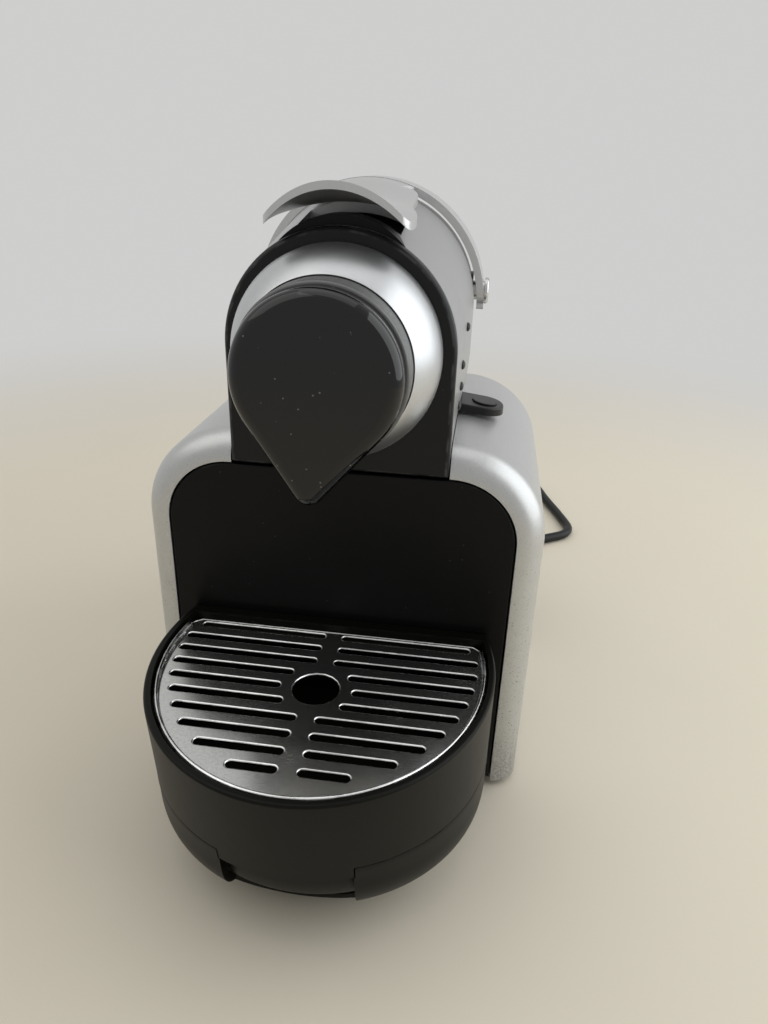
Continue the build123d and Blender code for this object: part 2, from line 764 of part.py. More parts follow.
with BuildPart() as lever_shaft:
    extrude(disc(side_view(0), (behind(pivot_back), pivot_z), shaft_radius), amount=band_radius, both=True)
    with BuildSketch(side_view(0)) as crank_outline:
        with BuildLine():
            CenterArc((behind(pivot_back), pivot_z), shaft_radius + crank_hub, 0, 360)
            CenterArc((behind(crank_end_closed[0]), crank_end_closed[1]), crank_eye, 0, 360)
        make_hull()
    for side in (-1, 1):
        extrude(Plane.YZ.offset(side * crank_inner_x) * crank_outline.sketch_local, amount=side * crank_plate)
        with BuildSketch(side_view(side * crank_inner_x)):
            with Locations((behind(crank_end_closed[0]), crank_end_closed[1])):
                Circle(link_pin_radius)
        extrude(amount=side * (link_outer_x + slide_gap - crank_inner_x))
save(lever_shaft, "lever_shaft")

# Lever: arched band with two arms, and a tongue that flares into the lip
lever_top = band_centre_z + band_radius
tongue_root = pivot_back - band_width / 2


def tongue_section(back, half, top, edge):
    # Bent strip across the tongue, between its crown height and its edge height
    with BuildSketch(front_view(back)) as strip:
        with BuildLine():
            ThreePointArc((-half, edge), (0, top), (half, edge))
            Line((half, edge), (half, edge - tongue_thickness))
            ThreePointArc((half, edge - tongue_thickness), (0, top - tongue_thickness),
                          (-half, edge - tongue_thickness))
            Line((-half, edge - tongue_thickness), (-half, edge))
        make_face()
    return strip.sketch


tongue_half = lip_half + lip_sweep
root_drop = band_radius - sqrt(band_radius ** 2 - tongue_half ** 2)
corner_x = lip_half - lip_corner
corner_y = behind(lip_sweep - lip_reach)
with BuildPart() as tongue_outline:
    with BuildSketch(Plane.XY.offset(axis_z)):
        with BuildLine():
            front_edge = ThreePointArc((-corner_x, corner_y), (0, behind(-lip_reach)), (corner_x, corner_y))
            right_edge = Spline((corner_x, corner_y),
                                *[(lip_half + swell, behind(back)) for swell, back in lip_turn],
                                *[(lip_half - draw, behind(back)) for draw, back in tongue_waist],
                                (lip_half - tongue_root_in, behind(tongue_root + 1)),
                                tangents=(front_edge % 1, (0.4, 1)))
            mirror(right_edge, about=Plane.YZ)
            Line(right_edge @ 1, (-(right_edge @ 1).X, (right_edge @ 1).Y))
        make_face()
    extrude(amount=lever_top)

tongue_sections = [tongue_section(back, tongue_half, lever_top - crown, lever_top - edge)
                   for back, crown, edge in tongue_stations]
tongue_sections.append(tongue_section(tongue_root + 1, tongue_half, lever_top - seam_gap,
                                      lever_top - seam_gap - root_drop))
with BuildPart() as tongue:
    loft(tongue_sections)
    add(tongue_outline.part, mode=Mode.INTERSECT)

with BuildPart() as lever:
    with BuildSketch(front_view(tongue_root)):
        with Locations((0, band_centre_z)):
            Circle(band_radius)
        with Locations((0, (band_centre_z + axis_z) / 2)):
            Rectangle(2 * band_radius, band_centre_z - axis_z)
        with Locations((0, band_centre_z)):
            Circle(arm_inner, mode=Mode.SUBTRACT)
        with Locations((0, band_centre_z - band_radius / 2)):
            Rectangle(2 * arm_inner, band_radius, mode=Mode.SUBTRACT)
    extrude(amount=-band_width)
    with BuildSketch(side_view(0)):
        with Locations((behind(pivot_back), pivot_z + band_radius / 2)):
            Rectangle(band_width, band_radius)
        with Locations((behind(pivot_back), pivot_z)):
            Circle(arm_end_radius)
    extrude(amount=machine_width, both=True, mode=Mode.INTERSECT)
    add(tongue.part)
    extrude(disc(side_view(0), (behind(pivot_back), pivot_z), shaft_radius + pin_gap), amount=machine_width,
            both=True, mode=Mode.SUBTRACT)
save(lever, "lever")

with BuildPart() as pivot_screws:
    for side in (-1, 1):
        extrude(disc(side_view(side * band_radius), (behind(pivot_back), pivot_z), pivot_head_radius),
                amount=side * pivot_head_height)
        fillet(pivot_screws.edges().group_by(Axis.X)[-1 if side > 0 else 0], pivot_head_height / 2)
        with BuildSketch(side_view(side * (band_radius + pivot_head_height))):
            with Locations((behind(pivot_back), pivot_z)):
                Rectangle(*pivot_slot[:2])
        extrude(amount=-side * pivot_slot[2], mode=Mode.SUBTRACT)
save(pivot_screws, "pivot_screws")

# Switch: a paddle that rocks on two trunnions in a bracket, over a micro switch
paddle_inner_x = paddle_pivot_x - 2 * paddle_pin_radius
paddle_root_x = head_half + 1
paddle_fall = (paddle_tip_x - paddle_root_x) * tan(radians(paddle_droop))
paddle_low = paddle_pivot_z - paddle_thickness / 2
with BuildPart() as switch_paddle:
    with BuildSketch(front_view(paddle_back)):
        with BuildLine():
            Polyline((paddle_inner_x, paddle_low), (paddle_root_x, paddle_low),
                     (paddle_tip_x, paddle_low - paddle_fall),
                     (paddle_tip_x, paddle_low - paddle_fall + paddle_thickness),
                     (paddle_root_x, paddle_low + paddle_thickness),
                     (paddle_inner_x, paddle_low + paddle_thickness), close=True)
        make_face()
    extrude(amount=paddle_width / 2, both=True)
    with BuildSketch(Plane.XY.offset(panel_top)) as paddle_plan:
        with Locations(((paddle_inner_x + paddle_tip_x) / 2, behind(paddle_back))):
            Rectangle(paddle_tip_x - paddle_inner_x, paddle_width)
        fillet(paddle_plan.vertices().group_by(Axis.X)[-1], paddle_tip_share * paddle_width)
    extrude(amount=rim_width + 2 * paddle_thickness, mode=Mode.INTERSECT)
    outer_rim = switch_paddle.faces().filter_by(lambda f: f.normal_at().Z > 0.9).edges()
    fillet(outer_rim.filter_by(lambda e: e.center().X > paddle_root_x + 1), paddle_thickness / 4)
    extrude(disc(front_view(paddle_back), (paddle_pivot_x, paddle_pivot_z), paddle_pin_radius),
            amount=paddle_width / 2 + ear_gap + ear_thickness, both=True)
save(switch_paddle, "switch_paddle")

pad_x = (paddle_root_x + paddle_tip_x) / 2 + 1
pad_z = paddle_low + paddle_thickness - (pad_x - paddle_root_x) * tan(radians(paddle_droop))
pad_plane = Plane(origin=(pad_x, behind(paddle_back), pad_z), x_dir=(1, 0, -tan(radians(paddle_droop))),
                  z_dir=(sin(radians(paddle_droop)), 0, cos(radians(paddle_droop))))
with BuildPart() as switch_pad:
    with BuildSketch(pad_plane):
        Ellipse(pad_share[0] * (paddle_tip_x - paddle_root_x), pad_share[1] * paddle_width)
    extrude(amount=pad_height)
    fillet(switch_pad.edges().group_by(Axis.Z)[-1], pad_round)
save(switch_pad, "switch_pad")

ear_near = paddle_width / 2 + ear_gap
ear_far = ear_near + ear_thickness
shelf_top = paddle_low - shelf_drop
with BuildPart() as switch_bracket:
    box_at((paddle_inner_x, head_inside), (behind(paddle_back - ear_far), behind(paddle_back + ear_far)),
           (shelf_top - shelf_thickness, shelf_top))
    for side in (-1, 1):
        box_at((paddle_inner_x, head_inside),
               sorted((behind(paddle_back + side * ear_near), behind(paddle_back + side * ear_far))),
               (shelf_top - shelf_thickness, paddle_pivot_z + 2 * paddle_pin_radius))
    extrude(disc(front_view(paddle_back), (paddle_pivot_x, paddle_pivot_z), paddle_pin_radius + pin_gap),
            amount=paddle_width, both=True, mode=Mode.SUBTRACT)
save(switch_bracket, "switch_bracket")

micro_top = paddle_low - plunger_height - plunger_gap
with BuildPart() as micro_switch:
    box_at((paddle_pivot_x, head_inside - plunger_radius),
           (behind(paddle_back - micro_half), behind(paddle_back + micro_half)), (shelf_top, micro_top))
    extrude(disc(Plane.XY.offset(micro_top), (paddle_pivot_x + 3 * plunger_radius, behind(paddle_back)),
                 plunger_radius), amount=plunger_height)
save(micro_switch, "micro_switch")

# Front panel and the capsule bin behind it, which pull out together
panel_bottom = base_top - 2
with BuildPart() as front_panel:
    extrude(arch(front_view(0), panel_half - 2 * seam_gap, panel_bottom, panel_top - 2 * seam_gap,
                 panel_corner - 2 * seam_gap), amount=-panel_thickness)
    fillet(front_panel.faces().sort_by(Axis.Y)[0].edges(), panel_edge_round)
    for side in (-1, 1):
        with Locations((side * hook_x, behind(0), hook_z)):
            Box(hook_size[0] + 2 * slide_gap, 2 * (panel_thickness - seam_gap), hook_size[1] + 2 * slide_gap,
                mode=Mode.SUBTRACT)
save(front_panel, "front_panel")

bin_bottom = base_top + slide_gap
with BuildPart() as capsule_bin:
    box_at((-bin_half, bin_half), (behind(panel_thickness), behind(panel_thickness + bin_length)),
           (bin_bottom, bin_top))
    rear_corners = capsule_bin.edges().filter_by(Axis.Z).group_by(Axis.Y)[-1]
    fillet(rear_corners, bin_corner)
    offset(amount=-bin_wall, openings=capsule_bin.faces().sort_by(Axis.Z)[-1])
save(capsule_bin, "capsule_bin")


# Drip tray set: the outline leans back as it goes down, and the base curves in like a bowl
bead_z = tray_rim_z - rim_bead


def tray_oval(z, draw_in):
    lean = tray_lean * (bead_z - z)
    with BuildSketch(Plane.XY.offset(z)) as oval:
        with Locations((0, tray_centre_y)):
            Ellipse(tray_half - draw_in, tray_length - draw_in - lean)
    return oval.sketch


def tray_wall_solid(bottom, top, draw_in):
    with BuildPart() as solid:
        loft([tray_oval(bottom, draw_in), tray_oval(top, draw_in)], ruled=True)
    return solid.part


def bowl_solid(bottom, top, draw_in):
    # Bowl below the seam: straight at first, then a quarter round
    last_turn = asin((bowl_start_z - bottom) / bowl_depth)
    ovals = [tray_oval(top + (bowl_start_z - top) * step / wall_steps, draw_in) for step in range(wall_steps)]
    for step in range(bowl_steps + 1):
        turn = last_turn * step / bowl_steps
        ovals.append(tray_oval(bowl_start_z - bowl_depth * sin(turn), draw_in + bowl_draw * (1 - cos(turn))))
    with BuildPart() as solid:
        loft(ovals)
    return solid.part


def before(solid, y):
    # What lies in front of an upright plane at this depth
    with BuildPart() as kept:
        add(solid)
        split(bisect_by=Plane(origin=(0, y, 0), x_dir=(1, 0, 0), z_dir=(0, -1, 0)), keep=Keep.TOP)
    return kept.part


tab_bottom = tray_seam_z - tab_drop
tab_front = front_y - tray_reach
tab_depth = tray_length / 3
base_rim_z = tray_seam_z - slide_gap

inner_back = tray_back - tray_back_rim
base_inside = bowl_solid(base_bottom + tray_wall, base_rim_z + 1, tray_wall)
recess_outside = bowl_solid(base_bottom, base_rim_z + 1, recess_depth)
recess_inside = bowl_solid(base_bottom + tray_wall, base_rim_z + 1, recess_depth + tray_wall)
with BuildPart() as base_hollow:
    add(base_inside)
    with Locations((0, tab_front, tray_seam_z / 2)):
        Box(2 * (tab_half + tray_wall), 2 * tab_depth, 2 * tray_seam_z, mode=Mode.SUBTRACT)
    add(recess_inside)
with BuildPart() as finger_recess:
    with Locations((0, tab_front, tab_bottom / 2)):
        Box(2 * tab_half, 2 * tab_depth, tab_bottom + 2 * slide_gap)
    add(recess_outside, mode=Mode.SUBTRACT)
with BuildPart() as drip_base:
    add(before(bowl_solid(base_bottom, base_rim_z, 0), tray_back))
    add(finger_recess.part, mode=Mode.SUBTRACT)
    add(before(base_hollow.part, inner_back), mode=Mode.SUBTRACT)
    with Locations((0, tab_front, tray_seam_z)):
        Box(2 * (tab_half + slide_gap), 2 * tab_depth, 2 * (tab_drop + slide_gap), mode=Mode.SUBTRACT)
    for side in (-1, 1):
        box_at((side * hook_x - hook_size[0] / 2, side * hook_x + hook_size[0] / 2),
               (tray_back - 1, behind(panel_thickness - 3 * seam_gap)),
               (hook_z - hook_size[1] / 2, hook_z + hook_size[1] / 2))
save(drip_base, "drip_base")

# Tray: a thin-walled basin with a ledge for the grid, a front tab, and lugs that drop inside the base
ledge_z = grid_z - grid_plate - seam_gap
basin_floor = tray_seam_z + tray_floor
side_lug_x = tray_half - tray_wall - 2 * slide_gap
with BuildPart() as tab_piece:
    add(tray_wall_solid(tab_bottom, tray_seam_z, 0))
    with Locations((0, tab_front, tray_seam_z)):
        Box(2 * tab_half, 2 * tab_depth, 4 * tab_drop, mode=Mode.INTERSECT)
    add(tray_wall_solid(tab_bottom, tray_seam_z, recess_depth - slide_gap), mode=Mode.SUBTRACT)
with BuildPart() as tray_block:
    add(tray_wall_solid(tray_seam_z, bead_z, 0))
    extrude(tray_oval(bead_z, 0), amount=rim_bead)
    fillet(tray_block.edges().group_by(Axis.Z)[-1], 0.9 * rim_bead)
with BuildPart() as drip_tray:
    add(before(tray_block.part, tray_back))
    add(tab_piece.part)
    add(before(tray_wall_solid(basin_floor, ledge_z - ledge_height, tray_wall), inner_back), mode=Mode.SUBTRACT)
    add(before(tray_wall_solid(basin_floor, ledge_z, tray_wall + ledge_width), inner_back - ledge_width),
        mode=Mode.SUBTRACT)
    add(before(tray_wall_solid(ledge_z, tray_rim_z + 1, tray_wall), inner_back), mode=Mode.SUBTRACT)
    for side in (-1, 1):
        box_at(sorted((side * side_lug_x, side * (side_lug_x - lug_block[0]))),
               (tray_centre_y - lug_block[1] / 2, tray_centre_y + lug_block[1] / 2),
               (tray_seam_z - lug_block[2], tray_seam_z + 1))
        box_at((side * back_lug_x - lug_block[1] / 2, side * back_lug_x + lug_block[1] / 2),
               (inner_back - slide_gap - lug_block[0], inner_back - slide_gap),
               (tray_seam_z - lug_block[2], tray_seam_z + 1))
save(drip_tray, "drip_tray")

# Grid: slotted steel plate with a raised rim and a drain hole
grid_draw = tray_wall + slide_gap
grid_back = inner_back - slide_gap
grid_half = tray_half - grid_draw
grid_length = tray_length - grid_draw - tray_lean * (bead_z - ledge_z)
grid_flat = grid_half * sqrt(1 - ((grid_back - tray_centre_y) / grid_length) ** 2) - grid_rim_width
hole_y = behind(hole_back)
with BuildPart() as drip_grid:
    with BuildSketch(Plane.XY.offset(grid_z - grid_plate)):
        with Locations((0, tray_centre_y)):
            Ellipse(grid_half, grid_length)
    extrude(amount=grid_plate + grid_rim_height)
    fillet(drip_grid.edges().group_by(Axis.Z)[-1], 0.4 * grid_rim_width)
    with BuildSketch(Plane.XY.offset(grid_z)):
        with Locations((0, tray_centre_y)):
            Ellipse(grid_half - grid_rim_width, grid_length - grid_rim_width)
    extrude(amount=2 * grid_rim_height, mode=Mode.SUBTRACT)
    with BuildSketch(Plane.XY.offset(grid_z - 2 * grid_plate)):
        with Locations((0, hole_y)):
            Circle(hole_radius)
        for row in range(-slot_rows_front, slot_rows_back + 1):
            row_y = hole_y + row * slot_pitch
            across = (row_y - tray_centre_y) / slot_end_length
            outer_x = slot_end_half * sqrt(1 - across ** 2)
            inner_x = max(slot_web, sqrt(max(0, slot_hole_clear ** 2 - (row * slot_pitch) ** 2)))
            with Locations(((outer_x + inner_x) / 2, row_y), (-(outer_x + inner_x) / 2, row_y)):
                SlotOverall(outer_x - inner_x, slot_width)
    extrude(amount=4 * grid_plate, mode=Mode.SUBTRACT)
    with BuildSketch(Plane.XY.offset(grid_z - 2 * grid_plate)):
        with BuildLine():
            Polyline((-tray_half, tab_front), (tray_half, tab_front),
                     (tray_half, grid_back - tray_half + grid_flat), (grid_flat, grid_back),
                     (-grid_flat, grid_back), (-tray_half, grid_back - tray_half + grid_flat), close=True)
        make_face()
    extrude(amount=4 * grid_plate, mode=Mode.INTERSECT)
save(drip_grid, "drip_grid")


# Water tank, lid, valve and the coupling under it
def tank_plan(z, inset):
    with BuildSketch(Plane.XY.offset(z)) as plan:
        with Locations((0, (seat_front + slide_gap + back_y) / 2)):
            Rectangle(2 * (tank_half - inset), back_y - seat_front - slide_gap - 2 * inset)
        fillet(plan.vertices(), tank_corner - inset)
    return plan.sketch


tank_low = tank_seat_z + slide_gap
tank_floor = tank_low + tank_wall
with BuildPart() as water_tank:
    extrude(tank_plan(tank_low, 0), amount=tank_top - tank_low)
    fillet(water_tank.edges().group_by(Axis.Z)[0], tank_bottom_round)
    extrude(tank_plan(tank_floor, tank_wall), amount=tank_top, mode=Mode.SUBTRACT)
    extrude(disc(Plane.XY.offset(0), (0, coupling_y), tank_hole_radius), amount=2 * tank_floor,
            mode=Mode.SUBTRACT)
save(water_tank, "water_tank")

with BuildPart() as tank_lid:
    extrude(tank_plan(tank_top + seam_gap, 0), amount=lid_thickness)
    fillet(tank_lid.edges().group_by(Axis.Z)[-1], lid_round)
    extrude(tank_plan(tank_top - lid_lip, tank_wall + slide_gap), amount=lid_lip + 1)
    extrude(tank_plan(tank_top - lid_lip, 2 * tank_wall + slide_gap),
            amount=lid_lip + lid_thickness - 2 * tank_wall, mode=Mode.SUBTRACT)
    with BuildSketch(Plane.XY.offset(tank_top + lid_thickness)):
        with Locations((0, back_y)):
            SlotOverall(3 * tank_corner, tank_corner)
    extrude(amount=-lid_thickness / 2, mode=Mode.SUBTRACT)
save(tank_lid, "tank_lid")

stem_low = tank_low + seam_gap
poppet_low = tank_floor + seam_gap
cage_roof = tank_floor + valve_cage_height
with BuildPart() as valve_cage:
    extrude(disc(Plane.XY.offset(tank_floor), (0, coupling_y), valve_cage_radius), amount=valve_cage_height)
    extrude(disc(Plane.XY.offset(tank_floor), (0, coupling_y), valve_cage_radius - valve_cage_wall),
            amount=valve_cage_height - valve_cage_wall, mode=Mode.SUBTRACT)
    extrude(disc(Plane.XY.offset(tank_floor), (0, coupling_y), valve_stem_radius + 4 * pin_gap),
            amount=2 * valve_cage_height, mode=Mode.SUBTRACT)
    with Locations((0, coupling_y, tank_floor + valve_cage_height / 2)):
        Box(4 * valve_cage_radius, valve_cage_radius, valve_window, mode=Mode.SUBTRACT)
        Box(valve_cage_radius, 4 * valve_cage_radius, valve_window, mode=Mode.SUBTRACT)
save(valve_cage, "valve_cage")

with BuildPart() as valve_poppet:
    extrude(disc(Plane.XY.offset(poppet_low), (0, coupling_y), valve_head_radius), amount=valve_head_height)
    extrude(disc(Plane.XY.offset(stem_low), (0, coupling_y), valve_stem_radius), amount=cage_roof - stem_low)
save(valve_poppet, "valve_poppet")

barb_z = base_top + barb_radius + seam_gap
barb_end = behind(housing_depth - back_thickness - barb_short)
with BuildPart() as tank_coupling:
    extrude(disc(Plane.XY.offset(base_top), (0, coupling_y), coupling_radius),
            amount=tank_seat_z - base_top - seam_gap)
    extrude(disc(Plane.XY.offset(base_top), (0, coupling_y), nipple_radius), amount=tank_low - base_top)
    extrude(disc(front_view(housing_depth + coupling_back), (0, barb_z), barb_radius),
            amount=coupling_y - barb_end)
save(tank_coupling, "tank_coupling")

with BuildPart() as coupling_seal:
    extrude(ring_face(Plane.XY.offset(tank_seat_z - seam_gap), (0, coupling_y), tank_hole_radius + 2 * seam_gap
                      + seal_width, tank_hole_radius + 2 * seam_gap), amount=seam_gap + slide_gap / 2)
save(coupling_seal, "coupling_seal")

# Heater with its bracket and thermostat on the left
heater_low = heater_z - bracket_sheet
heater_half = heater_size[0] / 2
heater_x = heater_gap + heater_half - inside_half
heater_front = heater_back - heater_size[1] / 2
heater_top = heater_z + heater_size[2]
heater_ports = [(heater_x + s * port_spread, behind(heater_back + port_back)) for s in (-1, 1)]
with BuildPart() as heating_block:
    box_at((heater_x - heater_half, heater_x + heater_half),
           (behind(heater_front), behind(heater_front + heater_size[1])), (heater_z, heater_top))
    fillet(heating_block.edges().filter_by(Axis.Z), heater_round)
    fin_gap = heater_size[1] / fin_count
    for fin in range(fin_count):
        with Locations((heater_x - heater_half, behind(heater_front + fin_gap * (fin + 0.5)),
                        heater_z + heater_size[2] / 2)):
            Box(2 * fin_depth, fin_gap / 2, heater_size[2] - 2 * fin_margin, mode=Mode.SUBTRACT)
    for port in heater_ports:
        extrude(disc(Plane.XY.offset(heater_top), port, barb_radius), amount=port_height)
save(heating_block, "heating_block")

bracket_x = (heater_x - heater_half + bracket_inset[0], heater_x + heater_half - bracket_inset[0])
bracket_front = heater_front + bracket_inset[1]
bracket_back = heater_front + heater_size[1] - bracket_inset[1]
with BuildPart() as heater_bracket:
    box_at(bracket_x, (behind(bracket_front), behind(bracket_back)), (heater_low, heater_z))
    for leg in (bracket_front, bracket_back - bracket_sheet):
        box_at(bracket_x, (behind(leg), behind(leg + bracket_sheet)), (base_top, heater_z))
save(heater_bracket, "heater_bracket")

with BuildPart() as thermostat:
    extrude(disc(front_view(heater_front + heater_size[1]), (heater_x, heater_z + heater_size[2] / 2),
                 thermostat_size[0]), amount=-thermostat_size[1])
save(thermostat, "thermostat")

# Pump on rubber mounts on the right
pump_x = inside_half - coil_gap - coil_block[0] / 2
pump_spot = (pump_x, behind(pump_back))
with BuildPart() as pump_coil:
    with Locations((pump_x, behind(pump_back), coil_block_z + coil_block[2] / 2)):
        Box(*coil_block)
    fillet(pump_coil.edges().filter_by(Axis.Z), coil_round)
    extrude(disc(Plane.XY.offset(0), pump_spot, pump_radius + pin_gap), amount=2 * pump_z[1],
            mode=Mode.SUBTRACT)
save(pump_coil, "pump_coil")

with BuildPart() as pump_body:
    extrude(disc(Plane.XY.offset(pump_z[0]), pump_spot, pump_radius), amount=pump_z[1] - pump_z[0])
    for height, rise in ((pump_z[0], -barb_low), (pump_z[1], barb_high)):
        extrude(disc(Plane.XY.offset(height), pump_spot, barb_radius), amount=rise)
save(pump_body, "pump_body")

mount_x = pump_x + coil_block[0] / 2
with BuildPart() as pump_mounts:
    with BuildSketch(side_view(mount_x)):
        with Locations((behind(pump_back), coil_block_z + coil_block[2] / 2)):
            with GridLocations(coil_block[1] / 2, coil_block[2] / 2, 2, 2):
                Circle(mount_radius)
    extrude(amount=inside_half - mount_x)
save(pump_mounts, "pump_mounts")

tank_hose_back = panel_thickness + bin_length + bin_hose_gap
tank_hose = hose([(0, barb_end, barb_z), (0, behind(tank_hose_back), barb_z),
                  (pump_x, behind(tank_hose_back), barb_z), (pump_x, behind(pump_back), barb_z),
                  (pump_x, behind(pump_back), pump_z[0] - barb_low)], hose_radius, hose_bend)
save(tank_hose, "tank_hose")

inlet_port, outlet_port = heater_ports
port_top = heater_top + port_height
pressure_hose = hose([(*pump_spot, pump_z[1] + barb_high), (*pump_spot, pressure_z),
                      (pump_x, behind(pressure_back), pressure_z),
                      (inlet_port[0], behind(pressure_back), pressure_z), (*inlet_port, pressure_z),
                      (*inlet_port, port_top)], hose_radius, hose_bend)
save(pressure_hose, "pressure_hose")

brew_hose = hose([(*outlet_port, port_top), (*outlet_port, brew_hose_z),
                  (outlet_port[0], behind(brew_hose_back), brew_hose_z),
                  (brew_hose_x, behind(brew_hose_back), brew_hose_z),
                  (brew_hose_x, behind(brew_hose_back), brew_hose_top)], brew_hose_radius,
                 2.5 * brew_hose_radius)
save(brew_hose, "brew_hose")

with BuildPart() as control_board:
    box_at((-board_size[0] / 2, board_size[0] / 2), (behind(board_back), behind(board_back + board_thickness)),
           (board_z, board_z + board_size[1]))
    for across, up, wide, high, deep in board_parts:
        box_at((across - wide / 2, across + wide / 2), (behind(board_back - deep), behind(board_back)),
               (up - high / 2, up + high / 2))
    extrude(disc(front_view(board_back), capacitor[:2], capacitor[2]), amount=capacitor[3])
save(control_board, "control_board")

# Strain relief on the back panel
gland_end = behind(housing_depth + gland_length)
with BuildPart() as strain_relief:
    extrude(disc(front_view(housing_depth - back_thickness), (gland_x, gland_z), 2 * cord_radius - pin_gap),
            amount=-back_thickness)
    extrude(disc(front_view(housing_depth), (gland_x, gland_z), 2 * cord_radius + gland_flange),
            amount=-gland_flange)
    loft([disc(front_view(housing_depth + gland_flange), (gland_x, gland_z), 1.8 * cord_radius),
          disc(front_view(housing_depth + gland_length), (gland_x, gland_z), 1.25 * cord_radius)])
    for groove in range(gland_grooves):
        back = housing_depth + gland_flange + gland_groove * (2 * groove + 2)
        extrude(ring_face(front_view(back), (gland_x, gland_z), 2 * cord_radius, 1.2 * cord_radius),
                amount=-gland_groove, mode=Mode.SUBTRACT)
save(strain_relief, "strain_relief")

# Mains cord: down to the worktop, out to one side, round a tight fold and back to the coil
floor_z = cord_radius + cord_lift
coil_z = cord_radius + tie_gap + tie_thickness + cord_lift
coil_start = (coil_centre[0] + coil_lead, coil_centre[1] + coil_radius)
cord_points = [
    (gland_x, gland_end, gland_z),
    (gland_x, 120, gland_z),
    (71.5, 143, 14),
    (75, 167, 5.5),
    (83, 191, floor_z),
    (104, 209, floor_z),
    (131, 225, floor_z),
    (123, 256, floor_z),
    (113, 287, floor_z),
    (106, 312, coil_z),
    (94, 332, coil_z),
    (72, coil_start[1], coil_z),
    (*coil_start, coil_z),
]
fold_corner_count = 6
corner_radii = []
for corner in range(1, len(cord_points) - 1):
    before_corner = Vector(*cord_points[corner]) - Vector(*cord_points[corner - 1])
    after_corner = Vector(*cord_points[corner + 1]) - Vector(*cord_points[corner])
    half_turn = radians(before_corner.get_angle(after_corner) / 2)
    corner_radii.append(0.45 * min(before_corner.length, after_corner.length) / tan(half_turn))
corner_radii[fold_corner_count - 1] = fold_radius
print("cord radii", [round(radius, 1) for radius in corner_radii])
with BuildPart() as power_cord:
    with BuildLine() as cord_path:
        FilletPolyline(*cord_points, radius=corner_radii)
    cord_wire = cord_path.wire()
    with BuildSketch(Plane(origin=cord_wire @ 0, z_dir=cord_wire % 0)):
        Circle(cord_radius)
    sweep(path=cord_wire)
cord_section = pi * cord_radius ** 2
print(f"cord volume {power_cord.part.volume:.0f}, section times length {cord_section * cord_wire.length:.0f}")
save(power_cord, "power_cord")


# Coil: the spiral runs in on the lower layer, climbs where it turns back, and runs out on the upper one
def coil_point(turns):
    if turns < coil_layer_turns:
        radius = coil_radius - coil_pitch * turns
        rise = 0
    elif turns < coil_layer_turns + 0.5:
        along = 2 * (turns - coil_layer_turns)
        radius = coil_radius - coil_pitch * (coil_layer_turns + along * (1 - along) / 2)
        rise = coil_step * (1 - cos(radians(180 * along))) / 2
    else:
        radius = coil_radius - coil_pitch * (2 * coil_layer_turns + 0.5 - turns)
        rise = coil_step
    angle = radians(90 + 360 * turns)
    return Vector(coil_centre[0] + radius * cos(angle), coil_centre[1] + radius * sin(angle), coil_z + rise)


def coil_heading(turns):
    return (coil_point(turns + 0.001) - coil_point(turns - 0.001)).normalized()


coil_turns = 2 * coil_layer_turns + 0.5
coil_steps = round(4 * coil_turns)
plug_start = Vector(coil_centre[0] - plug_lead, coil_start[1], coil_z + coil_step)
with BuildPart() as cord_coil:
    with BuildLine() as coil_path:
        Line((*coil_start, coil_z), coil_point(0))
        heading = Vector(-1, 0, 0)
        for step in range(coil_steps):
            start = coil_point(step * coil_turns / coil_steps)
            end = coil_point((step + 1) * coil_turns / coil_steps)
            next_heading = Vector(-1, 0, 0)
            if step < coil_steps - 1:
                next_heading = coil_heading((step + 1) * coil_turns / coil_steps)
            # Two arcs that meet halfway with a shared tangent
            chord = end - start
            both = heading + next_heading
            square = both.dot(both) - 4
            lean = chord.dot(both)
            root = sqrt(lean ** 2 - square * chord.dot(chord))
            reach = max((lean - root) / square, (lean + root) / square)
            middle = (start + heading * reach + end - next_heading * reach) / 2
            first_arc = TangentArc(start, middle, tangent=heading)
            TangentArc(middle, end, tangent=first_arc % 1)
            heading = next_heading
        Line(coil_point(coil_turns), plug_start)
    coil_wire = coil_path.wire()
    with BuildSketch(Plane(origin=coil_wire @ 0, z_dir=coil_wire % 0)):
        Circle(cord_radius)
    sweep(path=coil_wire)
save(cord_coil, "cord_coil")

sample_count = 400
samples = [coil_wire @ (step / sample_count) for step in range(sample_count + 1)]
apart = round(sample_count * 6 * cord_radius / coil_wire.length)
pairs = [(near, far) for step, near in enumerate(samples) for far in samples[step + apart:]]
least_gap = min((near - far).length for near, far in pairs) - 2 * cord_radius
print(f"coil volume {cord_coil.part.volume:.0f}, section times length {cord_section * coil_wire.length:.0f}")
print(f"least gap in the coil {least_gap:.3f} mm")

# Tie round the three turns on the far side of the coil
bundle = [coil_point(turns) for turns in (0.25, coil_layer_turns, coil_layer_turns + 1)]
bundle_bend = tie_width ** 2 / (8 * coil_radius)
tie_reach = cord_radius + tie_gap
bundle_x = [point.X for point in bundle]
bundle_z = [point.Z for point in bundle]
tie_x = (min(bundle_x) - tie_reach, max(bundle_x) + tie_reach + 2 * bundle_bend)
tie_z = (min(bundle_z) - tie_reach, max(bundle_z) + tie_reach)
with BuildPart() as cord_tie:
    with BuildSketch(Plane(origin=(0, coil_centre[1], 0), x_dir=(1, 0, 0), z_dir=(0, -1, 0))):
        with Locations(((tie_x[0] + tie_x[1]) / 2, (tie_z[0] + tie_z[1]) / 2)):
            RectangleRounded(tie_x[1] - tie_x[0] + 2 * tie_thickness, tie_z[1] - tie_z[0] + 2 * tie_thickness,
                             2 * tie_thickness)
            Rectangle(tie_x[1] - tie_x[0], tie_z[1] - tie_z[0], mode=Mode.SUBTRACT)
    extrude(amount=tie_width / 2, both=True)
save(cord_tie, "cord_tie")

# Flat two-pin plug that lies on the worktop
plug_height = 2 * (plug_start.Z - cord_lift)


